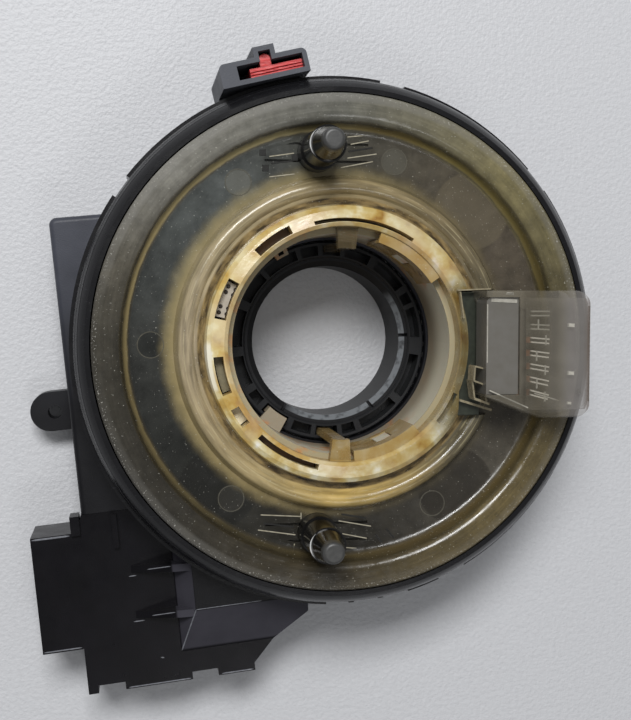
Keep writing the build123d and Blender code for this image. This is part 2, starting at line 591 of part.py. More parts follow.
# --- circuit board with its sensors and plug pins ---------------------------------------
BOARD_LOW = 12.1
BOARD_THICK = 1.6
BOARD_HUB_R = REEL_BORE_R + 3.2        # the board keeps this far from the column axis
BOARD_GAP = 0.4        # between the board's edge and the walls of its bay
BOARD_X_LOW = BOARD_GATE_X[0] + BOARD_GAP
BOARD_X_NECK = BOARD_GATE_X[1] - BOARD_GAP
BOARD_Y = 29.0         # half length of the board in the wing
BOARD_SHOULDER = 24.4  # the board narrows this far inside the wing's face
BOARD_REACH = 32.4     # and ends this far inside it
BOARD_SHOULDER_X = WING_X + BOARD_SHOULDER
BOARD_NOSE = (WING_X + BOARD_REACH, 8.0)       # its end, and the half width there
PIN_LOW = 6.0
PIN_STUB = 0.6         # a plug pin stands this far above the board
PIN_TOP = BOARD_LOW + BOARD_THICK + PIN_STUB

with BuildPart() as circuit_board:
    with BuildSketch(level(BOARD_LOW)):
        with BuildLine():
            Polyline((BOARD_X_LOW, BOARD_Y), (BOARD_SHOULDER_X, BOARD_Y), BOARD_NOSE,
                     (BOARD_NOSE[0], -BOARD_NOSE[1]), (BOARD_SHOULDER_X, -BOARD_Y),
                     (BOARD_X_NECK, -BOARD_Y), (BOARD_X_NECK, BAY_CORNER_Y - 2 * BOARD_GAP),
                     (BAY_X_HIGH - BOARD_GAP, BAY_Y_STEP - 2 * BOARD_GAP),
                     (BAY_X_HIGH - BOARD_GAP, BAY_Y_LOW + BOARD_GAP),
                     (BAY_X_STEP + BOARD_GAP, BAY_Y_LOW + BOARD_GAP),
                     (BAY_X_STEP + BOARD_GAP, BAY_Y_STEP + BOARD_GAP),
                     (BAY_X_LOW + BOARD_GAP, BAY_Y_STEP + BOARD_GAP),
                     (BAY_X_LOW + BOARD_GAP, BAY_Y_TOP - BOARD_GAP),
                     (BOARD_X_LOW, BAY_Y_TOP - BOARD_GAP), close=True)
        make_face()
        Circle(BOARD_HUB_R, mode=Mode.SUBTRACT)
        with Locations(polar(SCREW_SPOTS[2]), polar(SCREW_SPOTS[1])):
            Circle(BOSS_R + RUN_GAP, mode=Mode.SUBTRACT)
        with Locations(*PINS_A, *PINS_B):
            Rectangle(PIN_SIZE + 2 * SEAT_GAP, PIN_SIZE + 2 * SEAT_GAP, mode=Mode.SUBTRACT)
    extrude(amount=BOARD_THICK)
circuit_board.part.label = "circuit_board"
export_step(circuit_board.part, "parts/circuit_board.step")

SENSOR_SIZE = 5.0
SENSOR_THICK = 1.2
CHIP_SPOT = (WING_X + 12.4, 0.0)
CHIP_SIZE = 9.0
CHIP_THICK = 1.4

with BuildPart() as angle_sensors:
    with BuildSketch(level(BOARD_LOW)):
        with Locations(*POST_SPOTS):
            Rectangle(SENSOR_SIZE, SENSOR_SIZE)
    extrude(amount=-SENSOR_THICK)
angle_sensors.part.label = "angle_sensors"
export_step(angle_sensors.part, "parts/angle_sensors.step")

with BuildPart() as controller_chip:
    with BuildSketch(level(BOARD_LOW)):
        with Locations(CHIP_SPOT):
            Rectangle(CHIP_SIZE, CHIP_SIZE)
    extrude(amount=-CHIP_THICK)
controller_chip.part.label = "controller_chip"
export_step(controller_chip.part, "parts/controller_chip.step")

for pins_name, pin_spots in (("plug_pins_a", PINS_A), ("plug_pins_b", PINS_B)):
    with BuildPart() as plug_pins:
        with BuildSketch(level(PIN_LOW)):
            with Locations(*pin_spots):
                Rectangle(PIN_SIZE, PIN_SIZE)
        extrude(amount=PIN_TOP - PIN_LOW)
    plug_pins.part.label = pins_name
    export_step(plug_pins.part, "parts/" + pins_name + ".step")


# --- rotor disc: one clear moulding -----------------------------------------------------
RIM_EDGE = 0.4         # chamfer of the rim
RIM_SKIRT = 2.6
RIM_SKIRT_WALL = 1.2
RAMP_BEND = 1.4        # the ramp's two arcs reach this far past its foot and its head
BEAD_RISE = 3.3        # of the bead and of its two sides over the sunk band
BEAD_OUTER_RISE = 1.8
BEAD_INNER_RISE = 2.2
BEAD_OUTER = 0.7
BEAD_INNER = 1.7
STEP_FOOT = 0.5        # the raised hub's side leans out by this
STEP_DROP = 1.2
STEP_EDGE = (1.0, 0.5)
BORE_EDGE = (0.8, 0.6)
FOOT_INSET = (3.0, 2.0)        # of the two bends under the bead
UNDER_SHIFT = 0.8      # the underside of the ramp lies this far outside its top
PEG_X = -5.3           # the pegs stand beside the axis, so the wheel fits one way only
PEG_SPOTS = [(PEG_X, BAND_MIDDLE_R), (PEG_X, -BAND_MIDDLE_R)]
PEG_R = 3.75
PEG_ROOT_R = 4.1       # the peg's root in the disc, a little wider
PEG_SEAT = 36.5        # the root ends here
PEG_ARM = 11.0         # half length of the foot bar of a peg
PEG_ARM_WIDTH = 3.6
ARM_LINE = (0.5, 0.8)  # width and depth of the grooves over the foot bar's sides
SHROUD_IN = 1.3        # the shroud starts this far inside the raised hub's edge
SHROUD_OUT = 2.1       # and ends this far inside the disc's
SHROUD_X = (HUB_STEP_R - SHROUD_IN, DISC_R - SHROUD_OUT)
SHROUD_Y = (-15.0, 11.2)
SEAT_IN_R = HUB_BORE_R + 1.7   # the hub is cut back to here beside the shroud
SEAT_REACH = 8.0       # and the bead to this far outside the hub's edge
KEY_ANGLES = (88.5, 268.0)
KEY_WIDTH = 2.6
KEY_SPREAD = 1.4       # a key finger is this much wider at the hub
KEY_IN_R = RING_R - 2.5
KEY_OUT_R = RING_R - 1.0
KEY_LOW = 12.5
KEY_ROOT = 2.2         # height of a key finger's root at the hub
PLATE = (151.5, 167.5) # angles of the inner terminal's plate
PLATE_GAP = 1.0        # its slot is this much longer at each end
# Slots through the raised hub, as start angle, end angle, inner and outer offset from its bore.
HUB_SLOTS = [(57, 105, 0.9, 1.7), (116, 134.5, 0.9, 2.7), (185, 202, 1.1, 3.1),
             (209, 218, 1.1, 2.9), (226, 257, 0.9, 2.1), (320, 336, 0.6, 1.6),
             (PLATE[0] - PLATE_GAP, PLATE[1] + PLATE_GAP, 0.9, 3.3)]
SKIRT_TABS = [(35, 72), (274.5, 310.5)]    # clear tabs in front of the reel
TAB_WINDOWS = [(49.5, 58), (289.5, 299)]
TAB_R = (REEL_BORE_R - 1.0, REEL_BORE_R - RUN_GAP)
TAB_LOW = 25.0
TAB_TOP = HUB_TOP - 1.0
TAB_ROOT = 1.2
TAB_SILL = 1.4
TAB_WINDOW = 6.6

with BuildPart() as rotor_disc:
    with BuildSketch(Plane.XZ):
        ramp_middle = ((RAMP_R + BAND_R) / 2, (DISC_TOP + BAND_TOP) / 2)
        bead_foot = (HUB_FOOT_R - BEAD_OUTER, BAND_TOP + BEAD_OUTER_RISE)
        bead_neck = (BEAD_R - BEAD_INNER, BAND_TOP + BEAD_INNER_RISE)
        with BuildLine():
            Polyline((DISC_R, DISC_TOP - RIM_EDGE), (DISC_R - RIM_EDGE, DISC_TOP),
                     (RAMP_R + RAMP_BEND, DISC_TOP))
            TangentArc((RAMP_R + RAMP_BEND, DISC_TOP), ramp_middle, tangent=(-1, 0))
            TangentArc((BAND_R - RAMP_BEND, BAND_TOP), ramp_middle, tangent=(1, 0))
            Polyline((BAND_R - RAMP_BEND, BAND_TOP), (HUB_FOOT_R, BAND_TOP), bead_foot)
            ThreePointArc(bead_foot, (BEAD_R, BAND_TOP + BEAD_RISE), bead_neck)
            Polyline(bead_neck, (HUB_STEP_R + STEP_FOOT, BAND_TOP + BEAD_INNER_RISE),
                     (HUB_STEP_R, HUB_TOP - STEP_DROP),
                     (HUB_STEP_R - STEP_EDGE[0], HUB_TOP - STEP_EDGE[1]),
                     (HUB_BORE_R + BORE_EDGE[0], HUB_TOP), (HUB_BORE_R, HUB_TOP - BORE_EDGE[1]),
                     (HUB_BORE_R, HUB_LOW), (HUB_FOOT_R - FOOT_INSET[0], HUB_LOW),
                     (HUB_FOOT_R - FOOT_INSET[1], BAND_TOP - BAND_THICK),
                     (BAND_R + UNDER_SHIFT, BAND_TOP - BAND_THICK),
                     (RAMP_R + UNDER_SHIFT, DISC_TOP - DISC_THICK),
                     (DISC_R - RIM_SKIRT_WALL, DISC_TOP - DISC_THICK),
                     (DISC_R - RIM_SKIRT_WALL, DISC_TOP - DISC_THICK - RIM_SKIRT),
                     (DISC_R, DISC_TOP - DISC_THICK - RIM_SKIRT), (DISC_R, DISC_TOP - RIM_EDGE))
        make_face()
    revolve(axis=Axis.Z)
    # seat of the connector shroud
    with BuildSketch(rotor_level(BAND_TOP)):
        with Locations(((SEAT_IN_R + HUB_STEP_R + SEAT_REACH) / 2 - CUT, sum(SHROUD_Y) / 2)):
            Rectangle(HUB_STEP_R + SEAT_REACH - SEAT_IN_R + 2 * CUT,
                      SHROUD_Y[1] - SHROUD_Y[0] + 2 * RUN_GAP)
        Circle(SEAT_IN_R, mode=Mode.SUBTRACT)
    extrude(amount=HUB_TOP - BAND_TOP, mode=Mode.SUBTRACT)
    for start, end, inner, outer in HUB_SLOTS:
        with BuildSketch(rotor_level(HUB_LOW)):
            add(arc_band(HUB_BORE_R + inner, HUB_BORE_R + outer, start, end))
        extrude(amount=HUB_TOP - HUB_LOW, mode=Mode.SUBTRACT)
    # windowed tabs that hang in front of the reel
    for (start, end), (window_start, window_end) in zip(SKIRT_TABS, TAB_WINDOWS):
        with BuildSketch(rotor_level(TAB_LOW)):
            add(arc_band(TAB_R[0], TAB_R[1], start, end))
        extrude(amount=TAB_TOP - TAB_LOW)
        with BuildSketch(rotor_level(TAB_TOP - TAB_ROOT)):
            add(arc_band(TAB_R[0], HUB_BORE_R + BITE, start, end))
        extrude(amount=TAB_ROOT)
        with BuildSketch(rotor_level(TAB_LOW + TAB_SILL)):
            add(arc_band(TAB_R[0] - BITE, TAB_R[1] + SEAT_GAP, window_start, window_end))
        extrude(amount=TAB_WINDOW, mode=Mode.SUBTRACT)
    # key fingers that turn the index ring
    for angle in KEY_ANGLES:
        half = KEY_WIDTH / KEY_IN_R / pi * 90
        with BuildSketch(rotor_level(KEY_LOW)):
            add(arc_band(KEY_IN_R, KEY_OUT_R, angle - half, angle + half))
        extrude(amount=HUB_LOW - KEY_LOW)
        with BuildSketch(rotor_level(HUB_LOW)):
            add(arc_band(KEY_IN_R, HUB_BORE_R + BITE,
                         angle - KEY_SPREAD * half, angle + KEY_SPREAD * half))
        extrude(amount=KEY_ROOT)
    # seats of the pegs and of their foot bars
    with BuildSketch(rotor_level(BAND_TOP - BAND_THICK)):
        with Locations(*PEG_SPOTS):
            Circle(PEG_ROOT_R + SEAT_GAP)
    extrude(amount=PEG_SEAT - BAND_TOP + BAND_THICK, mode=Mode.SUBTRACT)
    with BuildSketch(rotor_level(BAND_TOP)):
        with Locations(*PEG_SPOTS):
            with Locations((0, PEG_ARM_WIDTH / 2), (0, -PEG_ARM_WIDTH / 2)):
                Rectangle(2 * PEG_ARM, ARM_LINE[0])
    extrude(amount=-ARM_LINE[1], mode=Mode.SUBTRACT)
rotor_disc.part.label = "rotor_disc"
export_step(rotor_disc.part, "parts/rotor_disc.step")


# --- drive pegs: dark pins with a foot bar under the disc -------------------------------
PEG_COLLAR = 46.0
PEG_TOP = 53.2
PEG_NECK = 0.3         # the tip starts this much narrower than the peg
PEG_TIP_R = 2.1
PEG_TIP_ROUND = 0.8
PEG_ARM_THICK = 1.0
for peg_name, peg_spot in (("drive_peg_upper", PEG_SPOTS[0]), ("drive_peg_lower", PEG_SPOTS[1])):
    with BuildPart() as drive_peg:
        with BuildSketch(rotor_level(BAND_TOP - BAND_THICK)):
            with Locations(peg_spot):
                Circle(PEG_ROOT_R)
        extrude(amount=PEG_SEAT - BAND_TOP + BAND_THICK)
        with BuildSketch(rotor_level(PEG_SEAT)):
            with Locations(peg_spot):
                Circle(PEG_R)
        extrude(amount=PEG_COLLAR - PEG_SEAT)
        with BuildSketch(rotor_level(PEG_COLLAR)):
            with Locations(peg_spot):
                Circle(PEG_R - PEG_NECK)
        with BuildSketch(rotor_level(PEG_TOP)):
            with Locations(peg_spot):
                Circle(PEG_TIP_R)
        loft()
        fillet(drive_peg.edges().sort_by(Axis.Z)[-1], PEG_TIP_ROUND)
        with BuildSketch(rotor_level(BAND_TOP - BAND_THICK)):
            with Locations(peg_spot):
                Rectangle(2 * PEG_ARM, PEG_ARM_WIDTH)
                Circle(PEG_ROOT_R)
        extrude(amount=-PEG_ARM_THICK)
    drive_peg.part.label = peg_name
    export_step(drive_peg.part, "parts/" + peg_name + ".step")


# --- reel: the white sleeve that carries the ribbon's inner end -------------------------
REEL_LOW = FLOOR_TOP + RUN_GAP
REEL_TOP = HUB_LOW - SEAT_GAP
REEL_FLANGE_R = REEL_R + 0.9
REEL_FLANGE = 1.2
INDEX_TOP = 15.0
TONGUE = (227.5, 241.0)        # tongue into the index ring
TONGUE_R = (RING_R - 2.7, RING_R - 1.2)
TONGUE_DEPTH = 3.6
CLIP = (115.0, 123.0)  # clip over the index ring's edge
CLIP_INSET = 2.3
PAWL_INSET = 0.6       # angle between a window's end and the snap in it
PAWL_LOW = 2.0
PAWL_HEIGHT = 5.4
PAWL_R = TAB_R[0] + 2 * SEAT_GAP
WEB = 1.0              # thickness of the tongue's and the clip's roots
PLATE_R = (REEL_R + 0.5, HUB_BORE_R + 3.1)     # radii of the inner terminal's plate

with BuildPart() as reel:
    with BuildSketch(rotor_level(REEL_LOW)):
        Circle(REEL_R)
        Circle(REEL_BORE_R, mode=Mode.SUBTRACT)
    extrude(amount=REEL_TOP - REEL_LOW)
    with BuildSketch(rotor_level(REEL_TOP)):
        Circle(REEL_FLANGE_R)
        Circle(REEL_BORE_R, mode=Mode.SUBTRACT)
        add(arc_band(REEL_R - BITE, PLATE_R[1], *PLATE))
    extrude(amount=-REEL_FLANGE)
    # snaps in the windows of the clear tabs
    for start, end in TAB_WINDOWS:
        with BuildSketch(rotor_level(TAB_LOW + PAWL_LOW)):
            add(arc_band(PAWL_R, REEL_BORE_R + BITE, start + PAWL_INSET, end - PAWL_INSET))
        extrude(amount=PAWL_HEIGHT)
    # tongue into the index ring, and the clip over its edge
    with BuildSketch(rotor_level(REEL_LOW)):
        add(arc_band(TONGUE_R[0], REEL_BORE_R + BITE, *TONGUE))
        add(arc_band(RING_R - CUT, REEL_BORE_R + BITE, *CLIP))
    extrude(amount=WEB)
    with BuildSketch(rotor_level(REEL_LOW)):
        add(arc_band(TONGUE_R[0], TONGUE_R[1], *TONGUE))
    extrude(amount=-TONGUE_DEPTH)
    with BuildSketch(rotor_level(REEL_LOW)):
        add(arc_band(RING_R - BITE, RING_R + RUN_GAP, CLIP[0] + CLIP_INSET, CLIP[1] - CLIP_INSET))
    extrude(amount=WEB, mode=Mode.SUBTRACT)
reel.part.label = "reel"
export_step(reel.part, "parts/reel.step")


# --- index ring: slotted black ring at the foot of the reel ------------------------------
INDEX_LOW = GEAR_TOP + SEAT_GAP
SLOT_R = (SLEEVE_R + 0.6, RING_R - 0.9)
SLOT_DEPTH = 4.5
RING_EDGE = 0.35
INDEX_SLOTS = [(2, 21), (24, 31), (35.5, 57), (62, 78.5), (81.5, 93), (96, 107), (110, 132),
               (135, 154), (160, 183.5), (189.5, 209), (213.5, 222), (225.6, 243), (247, 259.5),
               (262.5, 276.5), (279.5, 288), (292, 318), (323, 351)]

with BuildPart() as index_ring:
    with BuildSketch(rotor_level(INDEX_LOW)):
        Circle(RING_R)
        Circle(SLEEVE_R + SEAT_GAP, mode=Mode.SUBTRACT)
    extrude(amount=INDEX_TOP - INDEX_LOW)
    chamfer(index_ring.faces().sort_by(Axis.Z)[-1].edges(), RING_EDGE)
    for start, end in INDEX_SLOTS:
        with BuildSketch(rotor_level(INDEX_TOP)):
            add(arc_band(SLOT_R[0], SLOT_R[1], start, end))
        extrude(amount=-SLOT_DEPTH, mode=Mode.SUBTRACT)
index_ring.part.label = "index_ring"
export_step(index_ring.part, "parts/index_ring.step")


# --- encoder hub and its gear -------------------------------------------------------------
HUB_NOTCHES = (4.0, 304.5, 236.5)
NOTCH_HALF = 1.2       # half angle of a notch
NOTCH_DEPTH = 1.4
HUB_EDGE = 1.2         # chamfer towards the bore
HUB_RIM = INDEX_TOP - 0.4

with BuildPart() as encoder_hub:
    with BuildSketch(rotor_level(0)):
        Circle(SLEEVE_R)
        Circle(BORE_R, mode=Mode.SUBTRACT)
    extrude(amount=HUB_RIM)
    with BuildSketch(rotor_level(COVER_LOW)):
        Circle(HUB_FLANGE_R)
        Circle(BORE_R, mode=Mode.SUBTRACT)
    extrude(amount=GEAR_LOW - SEAT_GAP - COVER_LOW)
    chamfer(encoder_hub.faces().sort_by(Axis.Z)[-1].edges().sort_by(SortBy.RADIUS)[0], HUB_EDGE)
    for angle in HUB_NOTCHES:
        with BuildSketch(rotor_level(HUB_RIM)):
            add(arc_band(BORE_R - BITE, SLEEVE_R + BITE, angle - NOTCH_HALF, angle + NOTCH_HALF))
        extrude(amount=-NOTCH_DEPTH, mode=Mode.SUBTRACT)
encoder_hub.part.label = "encoder_hub"
export_step(encoder_hub.part, "parts/encoder_hub.step")

with BuildPart() as hub_gear:
    with BuildSketch(level(GEAR_LOW)):
        add(gear_outline(GEAR_MODULE, HUB_TEETH, GEAR_A_ANGLE))
        Circle(SLEEVE_R + SEAT_GAP, mode=Mode.SUBTRACT)
    extrude(amount=GEAR_THICK)
hub_gear.part.label = "hub_gear"
export_step(hub_gear.part, "parts/hub_gear.step")


# --- measuring gears on their posts, each with a magnet -------------------------------------
MAGNET_R = 3.0
MAGNET_THICK = 1.0
GEAR_RIM = 0.6         # the gear's cap over the post


def mesh_turn(angle, teeth):
    """Where a tooth of a measuring gear stands so that it is in mesh with the hub's gear."""
    lead = (GEAR_A_ANGLE - angle) % (360 / HUB_TEETH)
    return angle + 180 - lead * HUB_TEETH / teeth + 180 / teeth


for letter, teeth, spot in (("a", GEAR_A_TEETH, GEAR_A_SPOT), ("b", GEAR_B_TEETH, GEAR_B_SPOT)):
    with BuildPart() as measuring_gear:
        with BuildSketch(level(GEAR_LOW)):
            with Locations(polar(spot)):
                add(gear_outline(GEAR_MODULE, teeth, mesh_turn(spot[1], teeth)))
                Circle(POST_R + PIN_GAP, mode=Mode.SUBTRACT)
        extrude(amount=GEAR_THICK)
        with BuildSketch(level(GEAR_TOP + PIN_GAP)):
            with Locations(polar(spot)):
                Circle(MAGNET_R)
        extrude(amount=GEAR_RIM)
        with BuildSketch(level(GEAR_TOP)):
            with Locations(polar(spot)):
                Circle(MAGNET_R)
                Circle(POST_R + PIN_GAP, mode=Mode.SUBTRACT)
        extrude(amount=PIN_GAP)
    measuring_gear.part.label = "measuring_gear_" + letter
    export_step(measuring_gear.part, "parts/measuring_gear_" + letter + ".step")
    with BuildPart() as magnet:
        with BuildSketch(level(GEAR_TOP + PIN_GAP + GEAR_RIM)):
            with Locations(polar(spot)):
                Circle(MAGNET_R)
        extrude(amount=MAGNET_THICK)
    magnet.part.label = "magnet_" + letter
    export_step(magnet.part, "parts/magnet_" + letter + ".step")


# --- connector of the rotor: clear shroud, carrier and contacts ------------------------------
SHROUD_LOW = DISC_TOP + SEAT_GAP
SHROUD_TOP = 46.0
SHROUD_WALL = 1.5
SHROUD_CUT = (SHROUD_X[0] + 11.4, -10.6)   # the lower left corner is cut away from here to here
SHROUD_CORNER = 2.6
SHROUD_EDGE = 0.5
OVERHANG_LOW = HUB_TOP + RUN_GAP       # from here up the connector reaches over the hub
FOOT_R = HUB_STEP_R + 2.0      # the shroud's foot starts here
FOOT_INSET_Y = 3.0
FOOT_CLEAR = 0.2       # between the foot's corners and the ramp
FOOT_Y = (SHROUD_Y[0] + FOOT_INSET_Y, SHROUD_Y[1] - FOOT_INSET_Y)
FOOT_END_X = ((BAND_R - RAMP_BEND - FOOT_CLEAR) ** 2 - FOOT_Y[0] ** 2) ** 0.5
CARRIER_X = (SHROUD_X[0] + 0.2, SHROUD_X[0] + 7.0)
CARRIER_Y = (-10.1, 9.8)
CARRIER_TOP = 45.2
CARRIER_ROUND = 1.2
CAVITY_X = CARRIER_X[1] + 1.9
CONTACT_PITCH = 2.74
CONTACT_ROWS = 7
CONTACT_START = -10.0
CONTACT_Y = [CONTACT_START + CONTACT_PITCH * number for number in range(CONTACT_ROWS)]
CONTACT_LEAN = 2.5     # each row's blades lean this much more than the row above it
CONTACT_Z = 41.0
# root, end of the insulated part, tip
CONTACT_X = (CARRIER_X[1] + 0.7, CAVITY_X + 1.8, CAVITY_X + 6.0)
CONTACT_SIZE = (1.3, 1.8)
BLADE_SPACE = 0.45     # each of a row's two blades lies this far from its middle
BLADE_THICK = 0.3

with BuildPart() as connector_shroud:
    # body over the hub's edge, in front of the carrier only a base
    with BuildSketch(rotor_level(OVERHANG_LOW)):
        with BuildLine():
            Polyline((SHROUD_X[0], SHROUD_Y[1]), (SHROUD_X[1], SHROUD_Y[1]),
                     (SHROUD_X[1], SHROUD_Y[0]), (SHROUD_CUT[0], SHROUD_Y[0]),
                     (SHROUD_X[0], SHROUD_CUT[1]), close=True)
        make_face()
    extrude(amount=SHROUD_TOP - OVERHANG_LOW)
    with BuildSketch(rotor_level(SHROUD_LOW)):
        with BuildLine():
            Polyline((SHROUD_X[0], SHROUD_Y[1]), (SHROUD_X[1], SHROUD_Y[1]),
                     (SHROUD_X[1], SHROUD_Y[0]), (SHROUD_CUT[0], SHROUD_Y[0]),
                     (SHROUD_X[0], SHROUD_CUT[1]), close=True)
        make_face()
        Circle(HUB_STEP_R + RUN_GAP, mode=Mode.SUBTRACT)
    extrude(amount=OVERHANG_LOW - SHROUD_LOW)
    outer_edges = connector_shroud.edges().filter_by(Axis.Z).group_by(Axis.X)[-1]
    fillet(outer_edges, SHROUD_CORNER)
    fillet(connector_shroud.faces().sort_by(Axis.Z)[-1].edges(), SHROUD_EDGE)
    # foot down to the sunk band, beside the hub
    with BuildSketch(rotor_level(BAND_TOP + SEAT_GAP)):
        with Locations(((SHROUD_X[0] + FOOT_END_X) / 2, sum(FOOT_Y) / 2)):
            Rectangle(FOOT_END_X - SHROUD_X[0], FOOT_Y[1] - FOOT_Y[0])
        Circle(FOOT_R, mode=Mode.SUBTRACT)
    extrude(amount=SHROUD_LOW - BAND_TOP - SEAT_GAP)
    # plug cavity, open away from the axis
    with BuildSketch(rotor_level(SHROUD_LOW + SHROUD_WALL)):
        with Locations(((CAVITY_X + SHROUD_X[1] + CUT) / 2, sum(SHROUD_Y) / 2)):
            Rectangle(SHROUD_X[1] + CUT - CAVITY_X, SHROUD_Y[1] - SHROUD_Y[0] - 2 * SHROUD_WALL)
    extrude(amount=SHROUD_TOP - SHROUD_LOW - 2 * SHROUD_WALL, mode=Mode.SUBTRACT)
    # pocket of the carrier, with slits for the contacts
    with BuildSketch(rotor_level(OVERHANG_LOW)):
        with Locations(((SHROUD_X[0] - CUT + CARRIER_X[1] + SEAT_GAP) / 2, sum(CARRIER_Y) / 2)):
            Rectangle(CARRIER_X[1] + SEAT_GAP - SHROUD_X[0] + CUT,
                      CARRIER_Y[1] - CARRIER_Y[0] + 2 * SEAT_GAP)
    extrude(amount=SHROUD_TOP - OVERHANG_LOW, mode=Mode.SUBTRACT)
    with BuildSketch(rotor_level(CONTACT_Z - CONTACT_SIZE[1] / 2 - SEAT_GAP)):
        with Locations(*[((CARRIER_X[1] + CAVITY_X) / 2, y) for y in CONTACT_Y]):
            Rectangle(CAVITY_X - CARRIER_X[1] + CUT, CONTACT_SIZE[0] + 2 * SEAT_GAP)
    extrude(amount=CONTACT_SIZE[1] + 2 * SEAT_GAP, mode=Mode.SUBTRACT)
connector_shroud.part.label = "connector_shroud"
export_step(connector_shroud.part, "parts/connector_shroud.step")

with BuildPart() as contact_carrier:
    with BuildSketch(rotor_level(OVERHANG_LOW + SEAT_GAP)):
        with Locations((sum(CARRIER_X) / 2, sum(CARRIER_Y) / 2)):
            Rectangle(CARRIER_X[1] - CARRIER_X[0], CARRIER_Y[1] - CARRIER_Y[0])
    extrude(amount=CARRIER_TOP - OVERHANG_LOW - SEAT_GAP)
    left_corner = contact_carrier.edges().filter_by(Axis.Z).sort_by(Axis.X)[:2].sort_by(Axis.Y)[-1]
    fillet(left_corner, CARRIER_ROUND)
contact_carrier.part.label = "contact_carrier"
export_step(contact_carrier.part, "parts/contact_carrier.step")

with BuildPart() as contact_pins:
    with BuildSketch(rotor_level(CONTACT_Z - CONTACT_SIZE[1] / 2)):
        with Locations(*[((CONTACT_X[0] + CONTACT_X[1]) / 2, y) for y in CONTACT_Y]):
            Rectangle(CONTACT_X[1] - CONTACT_X[0], CONTACT_SIZE[0])
    extrude(amount=CONTACT_SIZE[1])
    for number, y in enumerate(CONTACT_Y):
        lean = CONTACT_LEAN * (number + 1 - CONTACT_ROWS)
        with BuildSketch(rotor_level(CONTACT_Z - CONTACT_SIZE[1] / 4)):
            with Locations(Location((CONTACT_X[1], y, 0), (0, 0, lean))):
                with Locations(((CONTACT_X[2] - CONTACT_X[1]) / 2, BLADE_SPACE),
                               ((CONTACT_X[2] - CONTACT_X[1]) / 2, -BLADE_SPACE)):
                    Rectangle(CONTACT_X[2] - CONTACT_X[1] + 2 * BLADE_THICK, BLADE_THICK)
        extrude(amount=CONTACT_SIZE[1] / 2)
contact_pins.part.label = "contact_pins"
export_step(contact_pins.part, "parts/contact_pins.step")


# --- ribbon cable: two packs of turns joined by one bight --------------------------------------
RIBBON_THICK = 0.3
RIBBON_LOW = FLOOR_TOP + PAD_HEIGHT + RUN_GAP
RIBBON_TOP = BAND_TOP - BAND_THICK - 1.4
RIBBON_PITCH = 0.6
RIBBON_TURNS = 2
INNER_START_R = REEL_R + 0.5
INNER_END_R = INNER_START_R + RIBBON_TURNS * RIBBON_PITCH
RIBBON_MARGIN = 2.3    # between the outer turn and the drum's wall
OUTER_END_R = DRUM_BORE_R - RIBBON_MARGIN
OUTER_START_R = OUTER_END_R - RIBBON_TURNS * RIBBON_PITCH
HALF_RIBBON = RIBBON_THICK / 2

with BuildPart() as ribbon_cable:
    with BuildSketch(level(RIBBON_LOW)):
        for turn in range(RIBBON_TURNS):
            for start_r, first in ((INNER_START_R, 0), (OUTER_START_R, 180)):
                radius = start_r + turn * RIBBON_PITCH
                add(arc_band(radius - HALF_RIBBON, radius + HALF_RIBBON, first, first + 180))
                radius += RIBBON_PITCH / 2
                with Locations((RIBBON_PITCH / 2, 0)):
                    add(arc_band(radius - HALF_RIBBON, radius + HALF_RIBBON,
                                 first + 180, first + 360))
        bight_r = (OUTER_START_R - INNER_END_R) / 2
        with Locations(((OUTER_START_R + INNER_END_R) / 2, 0)):
            add(arc_band(bight_r - HALF_RIBBON, bight_r + HALF_RIBBON, 0, 180))
    extrude(amount=RIBBON_TOP - RIBBON_LOW)
ribbon_cable.part.label = "ribbon_cable"
export_step(ribbon_cable.part, "parts/ribbon_cable.step")

PLATE_THICK = 1.6

with BuildPart() as inner_terminal:
    with BuildSketch(rotor_level(HUB_LOW)):
        add(arc_band(PLATE_R[0], PLATE_R[1], *PLATE))
    extrude(amount=PLATE_THICK)
inner_terminal.part.label = "inner_terminal"
export_step(inner_terminal.part, "parts/inner_terminal.step")

OUTER_PLATE = (-6.0, 6.0)
with BuildPart() as outer_terminal:
    with BuildSketch(level(RIBBON_LOW)):
        add(arc_band(OUTER_END_R + HALF_RIBBON + 0.6, DRUM_BORE_R - SEAT_GAP, *OUTER_PLATE))
    extrude(amount=RIBBON_TOP - RIBBON_LOW - 3.0)
outer_terminal.part.label = "outer_terminal"
export_step(outer_terminal.part, "parts/outer_terminal.step")
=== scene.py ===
"""Looks of the steering clock spring: camera, lights, finishes and small detail over the CAD."""
from math import cos, pi, radians, sin

import bmesh
import bpy
from mathutils import Matrix, Vector


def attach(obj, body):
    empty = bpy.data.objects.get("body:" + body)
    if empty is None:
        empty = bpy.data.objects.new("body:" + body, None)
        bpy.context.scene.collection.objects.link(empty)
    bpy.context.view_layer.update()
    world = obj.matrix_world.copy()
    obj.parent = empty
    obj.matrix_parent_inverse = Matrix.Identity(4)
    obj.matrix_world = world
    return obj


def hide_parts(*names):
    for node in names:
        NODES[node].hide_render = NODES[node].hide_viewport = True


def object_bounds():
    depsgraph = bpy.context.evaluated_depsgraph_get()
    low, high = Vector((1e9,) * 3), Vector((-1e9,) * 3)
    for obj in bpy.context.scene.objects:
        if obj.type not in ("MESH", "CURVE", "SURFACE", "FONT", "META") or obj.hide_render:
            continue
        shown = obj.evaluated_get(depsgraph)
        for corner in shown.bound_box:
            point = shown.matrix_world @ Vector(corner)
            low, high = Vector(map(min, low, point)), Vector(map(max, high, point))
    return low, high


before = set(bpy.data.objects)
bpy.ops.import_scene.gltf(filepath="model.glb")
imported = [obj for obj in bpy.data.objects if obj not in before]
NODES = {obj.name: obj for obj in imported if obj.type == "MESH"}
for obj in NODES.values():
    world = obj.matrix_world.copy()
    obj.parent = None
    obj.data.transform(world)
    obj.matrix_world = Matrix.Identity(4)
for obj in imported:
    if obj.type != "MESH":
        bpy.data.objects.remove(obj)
CAD_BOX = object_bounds()
MM = 0.001

